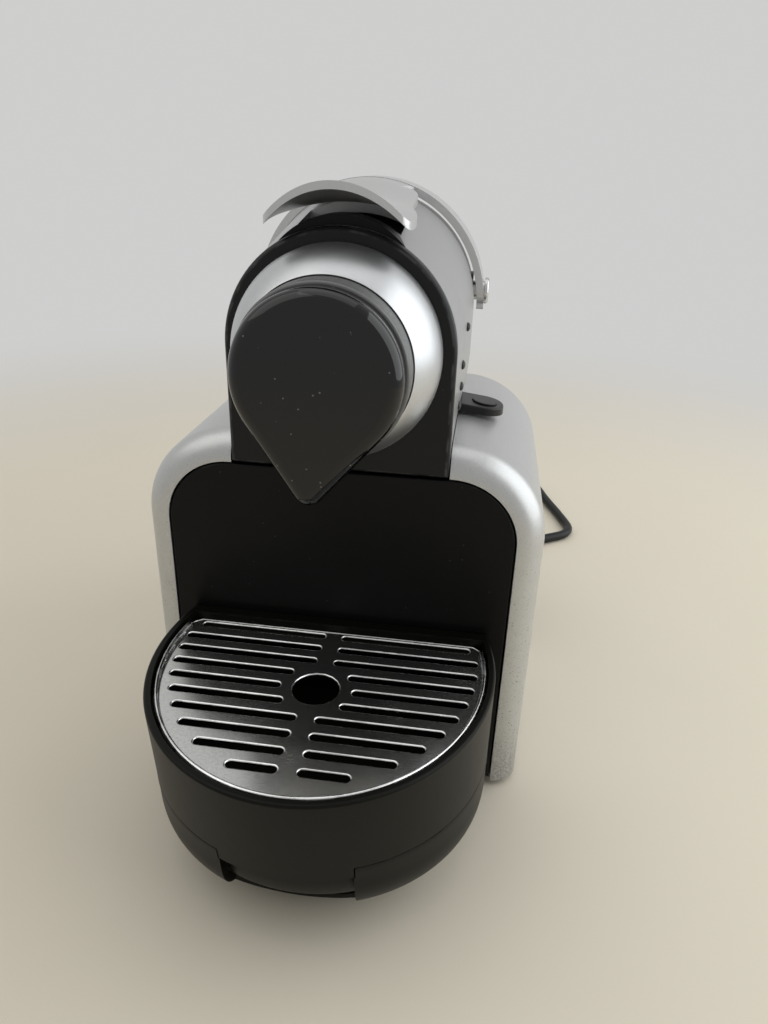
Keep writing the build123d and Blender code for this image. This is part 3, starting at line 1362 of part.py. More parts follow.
def plug_face(reach, wide, high):
    with BuildSketch(Plane(origin=(plug_start.X - reach, plug_start.Y, plug_start.Z), x_dir=(0, 1, 0),
                           z_dir=(-1, 0, 0))) as face:
        RectangleRounded(wide, high, 0.45 * high)
    return face.sketch


with BuildPart() as plug:
    loft([plug_face(0, plug_neck, plug_neck), plug_face(plug_boot, *plug_waist)])
    loft([plug_face(plug_boot, *plug_waist),
          plug_face(plug_boot + plug_size[1] / 3, plug_size[0], plug_height)])
    extrude(plug_face(plug_boot + plug_size[1] / 3, plug_size[0], plug_height), amount=2 * plug_size[1] / 3)
save(plug, "plug")

plug_end = plug_start.X - plug_boot - plug_size[1]
with BuildPart() as plug_pins:
    for side in (-1, 1):
        with BuildSketch(side_view(plug_end)):
            with Locations((plug_start.Y + side * pin_spacing / 2, plug_start.Z)):
                Circle(pin_radius)
        extrude(amount=-pin_length)
    fillet(plug_pins.edges().group_by(Axis.X)[0], pin_radius / 2)
save(plug_pins, "plug_pins")
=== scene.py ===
import json
import math

import bmesh
import bpy
from mathutils import Matrix, Vector
from mathutils.geometry import delaunay_2d_cdt

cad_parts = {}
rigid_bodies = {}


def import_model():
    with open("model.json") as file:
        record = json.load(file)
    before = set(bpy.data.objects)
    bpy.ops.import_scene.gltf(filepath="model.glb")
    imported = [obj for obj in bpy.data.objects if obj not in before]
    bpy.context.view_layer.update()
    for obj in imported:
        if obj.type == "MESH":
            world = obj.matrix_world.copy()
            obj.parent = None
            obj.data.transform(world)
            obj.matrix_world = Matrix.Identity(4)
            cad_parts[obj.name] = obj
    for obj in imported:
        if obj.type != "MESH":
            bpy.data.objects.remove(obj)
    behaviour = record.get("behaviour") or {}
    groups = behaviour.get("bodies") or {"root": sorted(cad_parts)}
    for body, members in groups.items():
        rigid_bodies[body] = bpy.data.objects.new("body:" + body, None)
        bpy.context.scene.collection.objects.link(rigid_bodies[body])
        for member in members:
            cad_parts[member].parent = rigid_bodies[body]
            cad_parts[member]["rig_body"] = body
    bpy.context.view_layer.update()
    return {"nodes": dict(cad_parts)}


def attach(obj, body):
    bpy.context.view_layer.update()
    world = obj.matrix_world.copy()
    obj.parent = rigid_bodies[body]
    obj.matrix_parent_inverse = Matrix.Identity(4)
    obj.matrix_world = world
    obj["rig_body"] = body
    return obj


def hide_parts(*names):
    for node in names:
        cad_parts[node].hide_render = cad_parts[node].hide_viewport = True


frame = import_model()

nodes = frame["nodes"]
mm = 0.001
print("frame loaded,", len(nodes), "nodes")

cameraSetup = {
    "place": (51.552, -303.593, 259.350),  # millimetres
    "yaw": -7.23,
    "pitch": 25.29,
    "roll": -1.83,
    "focalPixels": 748.4,
    "longSide": 1024,
    "sensor": 36.0,
    "clipStart": 0.01,  # metres
}


def addCamera(setup):
    yaw, pitch, roll = (math.radians(setup[key]) for key in ("yaw", "pitch", "roll"))
    ahead = Vector((math.sin(yaw) * math.cos(pitch), math.cos(yaw) * math.cos(pitch), -math.sin(pitch)))
    level = Vector((math.cos(yaw), -math.sin(yaw), 0))
    down = ahead.cross(level)
    right = level * math.cos(roll) + down * math.sin(roll)
    up = level * math.sin(roll) - down * math.cos(roll)
    data = bpy.data.cameras.new("photoCamera")
    data.sensor_width = setup["sensor"]
    data.lens = setup["focalPixels"] / setup["longSide"] * setup["sensor"]
    data.clip_start = setup["clipStart"]
    camera = bpy.data.objects.new("photoCamera", data)
    bpy.context.scene.collection.objects.link(camera)
    turn = Matrix((right, up, -ahead)).transposed().to_4x4()
    camera.matrix_world = Matrix.Translation(Vector(setup["place"]) * mm) @ turn
    bpy.context.scene.camera = camera


addCamera(cameraSetup)
print("camera placed")


# one output of a node; sums written on it add the Math nodes
class Wire:
    def __init__(self, tree, made=None, out=0):
        self.tree = tree
        self.made = made
        self.socket = made.outputs[out] if made and made.outputs else None

    def node(self, kind, settings=None, sockets=None, out=0):
        made = self.tree.nodes.new(kind)
        for name, value in (settings or {}).items():
            setattr(made, name, value)
        for name, value in (sockets or {}).items():
            target = made.inputs[name]
            if isinstance(value, Wire):
                self.tree.links.new(value.socket, target)
            elif target.type == "RGBA":
                target.default_value = (*value[:3], 1.0)
            else:
                target.default_value = value
        return Wire(self.tree, made, out)

    def also(self, out):  # another output of the same node
        return Wire(self.tree, self.made, out)

    def maths(self, operation, first, second):
        return self.node("ShaderNodeMath", {"operation": operation}, {0: first, 1: second})

    def __add__(self, other):
        return self.maths("ADD", self, other)

    __radd__ = __add__

    def __sub__(self, other):
        return self.maths("SUBTRACT", self, other)

    def __mul__(self, other):
        return self.maths("MULTIPLY", self, other)

    def __lt__(self, other):
        return self.maths("LESS_THAN", self, other)

    def fade(self, low, high, start=0.0, end=1.0):  # a soft step from start to end
        return self.node("ShaderNodeMapRange", {"interpolation_type": "SMOOTHSTEP"},
                         {0: self, 1: low, 2: high, 3: start, 4: end})

    def mix(self, first, second):  # the wire is the share of the second colour
        return self.node("ShaderNodeMix", {"data_type": "RGBA"}, {0: self, 6: first, 7: second}, out=2)

    def place(self):
        return self.node("ShaderNodeTexCoord").also("Object")

    def roundedEdge(self):  # the attribute that marks rounded edges
        return self.node("ShaderNodeAttribute", {"attribute_name": "roundedEdge"}).also("Fac")

    def stretched(self, scale):
        return self.node("ShaderNodeMapping", None, {"Vector": self, "Scale": scale})

    def noise(self, scale, detail, rough=0.5):
        return self.node("ShaderNodeTexNoise", None,
                         {"Vector": self, "Scale": scale, "Detail": detail, "Roughness": rough})

    # round spots in some of the cells of a random net, full in the core and fading out to their reach
    def specks(self, scale, reach, share, core=0.6):
        cells = self.node("ShaderNodeTexVoronoi", None, {"Vector": self, "Scale": scale})
        chance = self.node("ShaderNodeSeparateColor", None, {0: cells.also("Color")})
        return cells.fade(reach * core, reach, 1.0, 0.0) * (chance < share)

    def parts(self):  # the three coordinates
        split = self.node("ShaderNodeSeparateXYZ", None, {0: self})
        return split, split.also(1), split.also(2)

    def bump(self, depth, strength):
        return self.node("ShaderNodeBump", None, {"Strength": strength, "Distance": depth, "Height": self})


def startFinish(name):
    finish = bpy.data.materials.new(name)
    finish.use_nodes = True
    finish.node_tree.nodes.clear()
    return finish, Wire(finish.node_tree)


def closeFinish(finish, wire, sockets):
    shader = wire.node("ShaderNodeBsdfPrincipled", None, sockets)
    last = finish.node_tree.nodes.new("ShaderNodeOutputMaterial")
    finish.node_tree.links.new(shader.socket, last.inputs["Surface"])
    return finish


def shifted(tone, share):
    return tuple(min(1.0, channel * share) for channel in tone)


def shades(setup):  # the darkest and the palest tone of a finish
    return shifted(setup["tone"], 1.0 - setup["spread"]), shifted(setup["tone"], 1.0 + setup["spread"])


noiseRange = (0.3, 0.7)  # where most values of a noise lie

mouldedUsual = {  # what a moulded finish has unless its own setup says otherwise
    "spread": 0.05, "cloudScale": 35.0, "roughSpread": 0.04,
    "grainScale": 2600.0, "grainDepth": 0.00003, "grainStrength": 0.4,
    "dust": 0.03, "dustScale": 420.0, "dustReach": 0.16, "dustShare": 0.5, "dustRough": 0.25,
    "dustTone": (0.32, 0.30, 0.27),
    "wear": 0.5, "wearAndSheenScale": 160.0, "wearAndSheenRange": (0.42, 0.62), "wornLift": 3.0,
    "coat": 0.0, "coatRough": 0.08, "specular": 0.5,
}


# moulded plastic and rubber: grain, faint clouding, dust, worn edges
def mouldedFinish(name, own):
    setup = {**mouldedUsual, **own}
    finish, wire = startFinish(name)
    place = wire.place()
    cloud = place.noise(setup["cloudScale"], detail=3.0)
    grain = place.noise(setup["grainScale"], detail=2.0)
    dust = place.specks(setup["dustScale"], setup["dustReach"], setup["dust"])
    edgeBreakup = place.noise(setup["wearAndSheenScale"], detail=3.0).fade(*setup["wearAndSheenRange"])
    sheenAndWearShare = wire.roundedEdge() * edgeBreakup * setup["wear"]
    tone = cloud.fade(*noiseRange).mix(*shades(setup))
    tone = sheenAndWearShare.mix(tone, setup.get("wearAndSheenTone", shifted(setup["tone"], setup["wornLift"])))
    tone = (dust * setup["dustShare"]).mix(tone, setup["dustTone"])
    return closeFinish(finish, wire, {
        "Base Color": tone,
        "Roughness": setup["rough"] + (cloud - 0.5) * setup["roughSpread"] + dust * setup["dustRough"],
        "Normal": grain.bump(setup["grainDepth"], setup["grainStrength"]),
        "Coat Weight": setup["coat"],
        "Coat Roughness": setup["coatRough"],
        "Specular IOR Level": setup["specular"],
    })


metalUsual = {  # what a metal finish has unless its own setup says otherwise
    "metallic": 1.0, "flakeScale": 5200.0, "flakeShare": 0.5, "cloudScale": 28.0,
    "brush": (40.0, 40.0, 40.0), "brushScale": 60.0, "brushDepth": 0.00001, "brushStrength": 0.3,
    "roughSpread": 0.1,
    "stain": 0.15, "stainFrom": 0.55, "stainTo": 0.78, "stainShade": 0.6, "stainRough": 0.3,
    "wear": 0.4, "wearAndSheenScale": 120.0, "wearAndSheenRange": (0.4, 0.6), "wornLift": 1.25, "wearAndSheenRough": -0.1,
    "coat": 0.0, "coatRough": 0.15,
}


# painted, brushed or polished metal: flake, brush lines, stains, pits and worn edges; on the lever and the
# grid the edge tone is near-white, which is worn edges and partly a painted highlight
def metalFinish(name, own):
    setup = {**metalUsual, **own}
    finish, wire = startFinish(name)
    place = wire.place()
    flake = place.noise(setup["flakeScale"], detail=1.0)
    cloud = place.noise(setup["cloudScale"], detail=4.0)
    lines = place.stretched(setup["brush"]).noise(setup["brushScale"], detail=3.0)
    edgeBreakup = place.noise(setup["wearAndSheenScale"], detail=3.0).fade(*setup["wearAndSheenRange"])
    # on the lever and the grid this edge tone is near-white: worn edges and a painted highlight
    sheenAndWearShare = wire.roundedEdge() * edgeBreakup * setup["wear"]
    mark = flake * setup["flakeShare"] + lines * (1.0 - setup["flakeShare"])
    tone = mark.fade(*noiseRange).mix(*shades(setup))
    stain = cloud.fade(setup["stainFrom"], setup["stainTo"]) * setup["stain"]
    tone = stain.mix(tone, setup.get("stainTone", shifted(setup["tone"], setup["stainShade"])))
    tone = sheenAndWearShare.mix(tone, setup.get("wearAndSheenTone", shifted(setup["tone"], setup["wornLift"])))
    rough = setup["rough"] + (lines - 0.5) * setup["roughSpread"]
    rough = rough + stain * setup["stainRough"] + sheenAndWearShare * setup["wearAndSheenRough"]
    if "pits" in setup:
        tone, rough = pitted(place, tone, rough, setup)
    return closeFinish(finish, wire, {
        "Base Color": tone,
        "Metallic": setup["metallic"],
        "Roughness": rough,
        "Normal": mark.bump(setup["brushDepth"], setup["brushStrength"]),
        "Coat Weight": setup["coat"],
        "Coat Roughness": setup["coatRough"],
    })


# dark specks towards the foot of the piece, and soiling at its very foot
def pitted(place, tone, rough, setup):
    height = place.parts()[2]
    foot = height.fade(*setup["pitHeights"], 1.0, setup["pitsAbove"])
    coarse, fine = (place.specks(*size) * foot for size in setup["pits"])
    pits = coarse + fine
    soil = place.noise(setup["soilScale"], detail=5.0, rough=0.7).fade(*setup["soilRange"])
    soil = soil * height.fade(*setup["soilHeights"], setup["soil"], 0.0)
    tone = soil.mix(tone, setup["pitTone"])
    tone = (pits * setup["pitStrength"]).mix(tone, setup["pitTone"])
    return tone, rough + pits * setup["pitRough"]


# clear plastic with a faint haze and slow waves
def clearFinish(name, setup):
    finish, wire = startFinish(name)
    place = wire.place()
    haze = place.noise(setup["hazeScale"], detail=3.0)
    tone = haze.fade(*noiseRange).mix(shifted(setup["tone"], setup["hazeShade"]), setup["tone"])
    return closeFinish(finish, wire, {
        "Base Color": tone,
        "Roughness": setup["rough"] + haze * setup["haze"],
        "Transmission Weight": setup["clear"],
        "IOR": setup["ior"],
        "Normal": place.noise(setup["waveScale"], detail=2.0).bump(setup["waveDepth"], setup["waveStrength"]),
    })


silverPaint = metalFinish("silverPaint", {
    "tone": (0.55, 0.555, 0.55), "spread": 0.12, "rough": 0.38, "metallic": 0.8, "flakeShare": 0.75,
    "coat": 0.2, "coatRough": 0.25, "stain": 0.2, "wear": 0.25, "brushDepth": 0.000012, "brushStrength": 0.5,
    "pits": ((620.0, 0.2, 0.34), (1426.0, 0.26, 0.5)),  # scale, reach and share, coarse and fine
    "pitHeights": (0.03, 0.17), "pitsAbove": 0.12, "pitStrength": 0.75, "pitRough": 0.2,
    "pitTone": (0.10, 0.10, 0.105),
    "soil": 0.5, "soilScale": 950.0, "soilRange": (0.36, 0.62), "soilHeights": (0.004, 0.040),
})
# darker copy of silverPaint for the head shell, which is the same silver paint as the housing: painted shade
shadedHeadSilver = metalFinish("shadedHeadSilver", {
    "tone": (0.44, 0.443, 0.443), "spread": 0.07, "rough": 0.36, "metallic": 0.85, "flakeShare": 0.85,
    "coat": 0.2, "coatRough": 0.25, "wear": 0.3, "brushDepth": 0.000012, "brushStrength": 0.35,
})
# the lever's rounded edges get a near-white edge tone for its bright rim: painted highlight, with some real
# wear
leverSilver = metalFinish("leverSilver", {
    "tone": (0.60, 0.60, 0.598), "spread": 0.03, "rough": 0.34, "metallic": 0.88, "flakeShare": 0.8,
    "brushStrength": 0.05, "coat": 0.2, "coatRough": 0.2, "stain": 0.12, "wear": 0.9,
    "wearAndSheenTone": (0.92, 0.92, 0.91),
})
ringPlating = metalFinish("ringPlating", {
    "tone": (0.58, 0.59, 0.60), "spread": 0.03, "rough": 0.38, "brush": (6.0, 60.0, 6.0), "flakeShare": 0.2,
    "stain": 0.08, "wear": 0.3, "roughSpread": 0.06,
})
drumGrey = metalFinish("drumGrey", {
    "tone": (0.16, 0.162, 0.16), "spread": 0.06, "rough": 0.46, "metallic": 0.7, "brush": (2.0, 90.0, 2.0),
    "flakeShare": 0.25, "stain": 0.1,
})
# the rolled slot edges and the rim get a near-white edge tone: rubbed steel and partly a painted highlight
gridSteel = metalFinish("gridSteel", {
    "tone": (0.68, 0.68, 0.665), "spread": 0.10, "rough": 0.21, "roughSpread": 0.16,
    "brush": (9.0, 60.0, 40.0), "brushScale": 70.0, "brushStrength": 0.4,
    "flakeShare": 0.45, "flakeScale": 1500.0,
    "stain": 0.25, "stainFrom": 0.5, "stainTone": (0.44, 0.43, 0.40),
    "wear": 0.9, "wearAndSheenTone": (0.95, 0.95, 0.94), "wearAndSheenRough": 0.14,
})
plainSteel = metalFinish("plainSteel", {
    "tone": (0.60, 0.60, 0.59), "spread": 0.06, "rough": 0.24, "flakeShare": 0.3,
})
castMetal = metalFinish("castMetal", {
    "tone": (0.50, 0.50, 0.49), "spread": 0.12, "rough": 0.5, "flakeShare": 0.9, "flakeScale": 1600.0,
    "brushDepth": 0.00008, "brushStrength": 0.6, "stain": 0.2,
})
pinMetal = metalFinish("pinMetal", {
    "tone": (0.72, 0.68, 0.55), "spread": 0.05, "rough": 0.25, "flakeShare": 0.3, "stain": 0.2,
})
panelBlack = mouldedFinish("panelBlack", {
    "tone": (0.0036, 0.0035, 0.0033), "rough": 0.36, "dust": 0.05, "dustShare": 0.10, "wear": 0.8,
    "wearAndSheenTone": (0.10, 0.10, 0.098), "grainScale": 3200.0, "grainStrength": 0.15, "specular": 0.16,
})
plateBlack = mouldedFinish("plateBlack", {
    "tone": (0.0060, 0.0060, 0.0061), "rough": 0.34, "dust": 0.05, "dustShare": 0.12, "wear": 0.9,
    "wearAndSheenTone": (0.05, 0.05, 0.052), "grainScale": 3200.0, "grainStrength": 0.15, "specular": 0.27,
})
capGloss = mouldedFinish("capGloss", {
    "tone": (0.0030, 0.0030, 0.0029), "rough": 0.07, "roughSpread": 0.02, "dust": 0.14,
    "dustShare": 0.45, "wear": 0.0, "grainScale": 900.0, "grainStrength": 0.02, "specular": 0.48,
})
trayBlack = mouldedFinish("trayBlack", {
    "tone": (0.0036, 0.0034, 0.0022), "rough": 0.40, "dust": 0.05, "dustShare": 0.10, "wear": 0.6,
    "wearAndSheenTone": (0.06, 0.058, 0.05), "grainScale": 2400.0, "grainStrength": 0.2, "specular": 0.13,
})
paddleBlack = mouldedFinish("paddleBlack", {
    "tone": (0.008, 0.008, 0.0082), "rough": 0.34, "dust": 0.06, "dustShare": 0.2, "wear": 0.8,
    "wearAndSheenTone": (0.09, 0.09, 0.09), "grainScale": 3000.0, "grainStrength": 0.2, "specular": 0.34,
})
innerBlack = mouldedFinish("innerBlack", {"tone": (0.030, 0.030, 0.031), "rough": 0.5, "dust": 0.02})
innerWhite = mouldedFinish("innerWhite", {
    "tone": (0.68, 0.68, 0.65), "rough": 0.42, "dust": 0.02, "dustTone": (0.35, 0.33, 0.30),
    "wearAndSheenTone": (0.78, 0.78, 0.76),
})
siliconeHose = mouldedFinish("siliconeHose", {
    "tone": (0.62, 0.60, 0.54), "rough": 0.32, "dust": 0.02, "wearAndSheenTone": (0.7, 0.68, 0.62),
})
boardGreen = mouldedFinish("boardGreen", {
    "tone": (0.03, 0.16, 0.07), "rough": 0.35, "cloudScale": 160.0, "wearAndSheenTone": (0.5, 0.42, 0.2),
    "dust": 0.22, "dustScale": 300.0, "dustTone": (0.62, 0.60, 0.52), "dustShare": 0.9,
})
coilWrap = mouldedFinish("coilWrap", {
    "tone": (0.42, 0.29, 0.09), "rough": 0.45, "wearAndSheenTone": (0.5, 0.36, 0.14),
})
footRubber = mouldedFinish("footRubber", {
    "tone": (0.022, 0.022, 0.022), "rough": 0.7, "grainStrength": 0.6,
})
cordRubber = mouldedFinish("cordRubber", {
    "tone": (0.006, 0.006, 0.006), "rough": 0.42, "grainScale": 1800.0, "grainStrength": 0.3, "dust": 0.05,
    "dustShare": 0.2, "specular": 0.3, "wearAndSheenTone": (0.03, 0.03, 0.03),
})
tankClear = clearFinish("tankClear", {
    "tone": (0.90, 0.92, 0.93), "rough": 0.03, "clear": 0.95, "ior": 1.45,
    "haze": 0.08, "hazeScale": 30.0, "hazeShade": 0.94,
    "waveScale": 220.0, "waveDepth": 0.00005, "waveStrength": 0.2,
})
print("finishes mixed:", len(bpy.data.materials))

dressing = {
    "mergeGap": 0.002 * mm,  # points closer than this are one
    "flatAngle": math.radians(0.05),
    "edgeAngle": math.radians(32),
    "segments": 3,
}


# a merged copy of a CAD node with its sharp edges softly rounded and marked, for edge wear and, on the lever,
# a painted edge highlight
def dress(node, name, finish, slot, edge):
    work = bmesh.new()
    work.from_mesh(nodes[node].data)
    bmesh.ops.remove_doubles(work, verts=work.verts, dist=dressing["mergeGap"])
    bmesh.ops.dissolve_limit(work, angle_limit=dressing["flatAngle"], verts=work.verts, edges=work.edges)
    mesh = bpy.data.meshes.new(name)
    work.to_mesh(mesh)
    work.free()
    for face in mesh.polygons:
        face.use_smooth = True
    mesh.materials.append(finish)
    mesh.materials.append(finish)  # marks the rounded edges until markEdges has read it
    piece = bpy.data.objects.new(name, mesh)
    bpy.context.scene.collection.objects.link(piece)
    bevel = piece.modifiers.new("edge", "BEVEL")
    bevel.width = edge * mm
    bevel.segments = dressing["segments"]
    bevel.limit_method = "ANGLE"
    bevel.angle_limit = dressing["edgeAngle"]
    bevel.material = 1
    piece.modifiers.new("normals", "WEIGHTED_NORMAL")
    settle(piece)
    markEdges(piece)
    seat(piece, nodes[node]["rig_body"], slot, node)


def settle(piece):  # modifiers become plain mesh
    bpy.context.view_layer.update()
    ready = piece.evaluated_get(bpy.context.evaluated_depsgraph_get())
    mesh = bpy.data.meshes.new_from_object(ready)
    piece.modifiers.clear()
    piece.data = mesh


# roundedEdge is 1 along the middle of each rounded edge and 0 where the flat faces start
def markEdges(piece):
    mesh = piece.data
    rounded, flat = set(), set()
    for face in mesh.polygons:
        (rounded if face.material_index == 1 else flat).update(face.vertices)
        face.material_index = 0
    ridge = rounded - flat
    wear = mesh.attributes.new("roundedEdge", "FLOAT", "POINT")
    wear.data.foreach_set("value", [float(point in ridge) for point in range(len(mesh.vertices))])
    mesh.materials.pop(index=1)


def seat(piece, body, slot, *stoodFor):  # the body it moves with and the nodes it stands for; the slot is not used
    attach(piece, body)
    if stoodFor:
        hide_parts(*stoodFor)


def coat(node, finish):  # a CAD node that stays, with a better finish
    mesh = nodes[node].data
    mesh.materials.clear()
    mesh.materials.append(finish)


outerPieces = {  # node: name, finish, slot, rounded edge in millimetres
    "housing": ("archHousing", silverPaint, "silver_paint", 0.4),
    "head_shell": ("headShell", shadedHeadSilver, "silver_paint", 0.4),
    "back_panel": ("backPanel", panelBlack, "black_satin", 0.4),
    "front_panel": ("frontPanel", panelBlack, "black_satin", 0.35),
    "face_plate": ("facePlate", plateBlack, "black_satin", 0.6),
    "capsule_inlet": ("capsuleInlet", panelBlack, "black_satin", 0.4),
    "outlet_ring": ("outletRing", ringPlating, "bright_ring", 0.4),
    "outlet_drum": ("outletDrum", drumGrey, "grey_drum", 0.3),
    "outlet_cap": ("outletCap", capGloss, "black_gloss", 0.5),
    "lever": ("lever_arm", leverSilver, "lever_silver", 1.1),
    "lever_shaft": ("leverShaft", plainSteel, "steel", 0.2),
    "pivot_screws": ("pivotScrews", plainSteel, "steel", 0.15),
    "switch_paddle": ("switchPaddle", paddleBlack, "black_satin", 0.5),
    "switch_pad": ("switchPad", paddleBlack, "black_satin", 0.4),
    "drip_base": ("dripBase", trayBlack, "tray_black", 0.4),
    "drip_tray": ("dripTray", trayBlack, "tray_black", 0.4),
    "base_plate": ("basePlate", innerBlack, "inner_black", 0.4),
    "tank_lid": ("tankLid", panelBlack, "black_satin", 0.5),
    "strain_relief": ("strainRelief", cordRubber, "cord_black", 0.3),
    "plug": ("mainsPlug", cordRubber, "cord_black", 0.5),
}
for node, (name, finish, slot, edge) in outerPieces.items():
    dress(node, name, finish, slot, edge)
print("outer pieces dressed:", len(outerPieces))

innerFinishes = {
    "rubber_feet": footRubber, "coffee_spout": innerBlack, "brew_head": innerBlack,
    "pierce_plate": plainSteel, "guide_rails": plainSteel, "rear_bulkhead": innerBlack,
    "capsule_cage": innerBlack, "link_pin": plainSteel, "drive_links": plainSteel,
    "switch_bracket": innerBlack, "micro_switch": innerBlack, "capsule_bin": innerBlack,
    "water_tank": tankClear, "valve_cage": innerWhite, "valve_poppet": innerWhite,
    "tank_coupling": innerBlack, "coupling_seal": footRubber, "heating_block": castMetal,
    "heater_bracket": plainSteel, "thermostat": plainSteel, "pump_coil": coilWrap,
    "pump_body": innerWhite, "pump_mounts": footRubber, "tank_hose": siliconeHose,
    "pressure_hose": siliconeHose, "brew_hose": siliconeHose, "control_board": boardGreen,
    "cord_tie": innerBlack, "plug_pins": pinMetal,
}
for node, finish in innerFinishes.items():
    coat(node, finish)
print("inner pieces coated:", len(innerFinishes))


gridSetup = {  # millimetres
    # the plate: an oval cut off straight at the back, with its two back corners taken off
    "half": 63.6, "length": 72.08, "centre": -67.45, "back": -46.55, "flat": 57.87,
    "top": 79.0, "plate": 1.2,
    # the raised rim, of which only a share runs along the back
    "rimWidth": 2.3, "rimHeight": 2.4, "backRim": 0.1,
    # rows of slots either side of a web, ending along an oval of their own and short of the corners
    "rows": range(-5, 5), "pitch": 8.45, "slotWidth": 3.4, "web": 3.4,
    "endHalf": 60.0, "endLength": 67.6, "endCentre": -62.2, "cornerGap": 4.5,
    # the round hole and the room that the slots leave round it
    "holeSpot": -83.35, "holeRadius": 9.0, "holeClear": 13.6,
    "roll": 0.55,  # radius of the rolled slot edges
    "rollSteps": 4, "capSteps": 9, "rimSteps": 10, "outlineSteps": 180,
    "fillKind": 1,  # triangles inside the outline only
    "fillGap": 0.00001,  # points closer than this are one in the fill
}


def gridSlots(setup):  # x, y, length and width of the round hole and of each slot
    slots = [(0, setup["holeSpot"], 2 * setup["holeRadius"], 2 * setup["holeRadius"])]
    for row in setup["rows"]:
        away = row * setup["pitch"]
        y = setup["holeSpot"] + away
        outer = setup["endHalf"] * math.sqrt(1 - ((y - setup["endCentre"]) / setup["endLength"]) ** 2)
        outer = min(outer, setup["flat"] + setup["back"] - y - setup["cornerGap"])
        inner = max(setup["web"], math.sqrt(max(0, setup["holeClear"] ** 2 - away ** 2)))
        slots += [(side * (outer + inner) / 2, y, outer - inner, setup["slotWidth"]) for side in (-1, 1)]
    return slots


# a slot's outline with round ends, grown by so much
def slotLoop(slot, grow, height, steps):
    x, y, long, width = slot
    radius = width / 2 + grow
    reach = (long - width) / 2
    loop = []
    for end, start in ((1, -90), (-1, 90)):
        for step in range(steps):
            angle = math.radians(start + 180 * (step + 0.5) / steps)
            loop.append((x + end * reach + radius * math.cos(angle), y + radius * math.sin(angle), height))
    return loop


# the grid's outline at one step over its rim, from the outer foot to the inner one
def rimLoop(setup, step):
    angle = math.pi * step / setup["rimSteps"]
    draw = (1 - math.cos(angle)) * setup["rimWidth"] / 2
    rise = math.sin(angle) * setup["rimHeight"]
    corner = setup["flat"] + setup["back"] - setup["centre"]
    loop = []
    for spoke in range(setup["outlineSteps"]):
        turn = 2 * math.pi * spoke / setup["outlineSteps"]
        across, along = math.cos(turn), math.sin(turn)
        oval = 1 / math.hypot(across / setup["half"], along / setup["length"])
        cuts = [(setup["back"] - setup["centre"]) / along] if along > 0 else []
        cuts += [corner / (abs(across) + along)] if abs(across) + along > 0 else []
        reach = min([oval] + cuts)
        share = 1.0 if reach == oval else setup["backRim"]
        reach -= draw * share
        loop.append((across * reach, setup["centre"] + along * reach, setup["top"] + rise * share))
    return loop


def addRing(work, loop, sheenAndWearShare=False):
    wear = work.verts.layers.float["roundedEdge"]
    made = [work.verts.new(Vector(point) * mm) for point in loop]
    for point in made:
        point[wear] = float(sheenAndWearShare)
    return made


def addWall(work, rings):
    for low, high in zip(rings, rings[1:]):
        for k in range(len(low)):
            work.faces.new((low[k - 1], low[k], high[k], high[k - 1])).smooth = True


# flat triangles between the slots and the rim, which is the last loop
def addCap(work, loops, setup):
    points = [point for loop in loops for point in loop]
    owner = [number for number, loop in enumerate(loops) for point in loop]
    order = {point: place for place, point in enumerate(points)}
    flat = [Vector((point.co.x, point.co.y)) / mm for point in points]
    sides = [(order[loop[k - 1]], order[loop[k]]) for loop in loops for k in range(len(loop))]
    filled = delaunay_2d_cdt(flat, sides, [], setup["fillKind"], setup["fillGap"])
    for face in filled[2]:
        corners = [filled[3][corner][0] for corner in face]
        owners = {owner[corner] for corner in corners}
        if len(owners) > 1 or max(owners) == len(loops) - 1:  # the rest lie inside a slot
            work.faces.new([points[corner] for corner in corners])


def slotRings(work, slot, setup):  # over the rolled edge and down to the underside
    rings = []
    for step in range(setup["rollSteps"] + 1):
        angle = math.pi / 2 * step / setup["rollSteps"]
        grow = setup["roll"] * (1 - math.sin(angle))
        height = setup["top"] - setup["roll"] * (1 - math.cos(angle))
        loop = slotLoop(slot, grow, height, setup["capSteps"])
        # the middle steps of each roll are marked for the grid's near-white edge tone: rubbed steel and
        # partly a painted highlight
        rings.append(addRing(work, loop, 0 < step < setup["rollSteps"]))
    rings.append(addRing(work, slotLoop(slot, 0, setup["top"] - setup["plate"], setup["capSteps"])))
    return rings


def rimRings(work, setup):  # from the underside up the edge and over the rim
    rings = [addRing(work, [(x, y, z - setup["plate"]) for x, y, z in rimLoop(setup, 0)])]
    for step in range(setup["rimSteps"] + 1):
        # the middle steps of the rim are marked for the grid's near-white edge tone: rubbed steel and partly
        # a painted highlight
        rings.append(addRing(work, rimLoop(setup, step), 1 < step < setup["rimSteps"] - 1))
    return rings


# slotted plate with rolled slot edges and a rounded rim
def addGrid(setup):
    work = bmesh.new()
    work.verts.layers.float.new("roundedEdge")
    slots = [slotRings(work, slot, setup) for slot in gridSlots(setup)]
    rim = rimRings(work, setup)
    for rings in slots + [rim]:
        addWall(work, rings)
    addCap(work, [rings[0] for rings in slots] + [rim[-1]], setup)
    addCap(work, [rings[-1] for rings in slots] + [rim[0]], setup)
    bmesh.ops.remove_doubles(work, verts=work.verts, dist=dressing["mergeGap"])
    bmesh.ops.recalc_face_normals(work, faces=work.faces)
    mesh = bpy.data.meshes.new("dripGrid")
    work.to_mesh(mesh)
    work.free()
    mesh.materials.append(gridSteel)
    grid = bpy.data.objects.new("dripGrid", mesh)
    bpy.context.scene.collection.objects.link(grid)
    seat(grid, nodes["drip_grid"]["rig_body"], "steel", "drip_grid")


addGrid(gridSetup)
print("grid rolled")


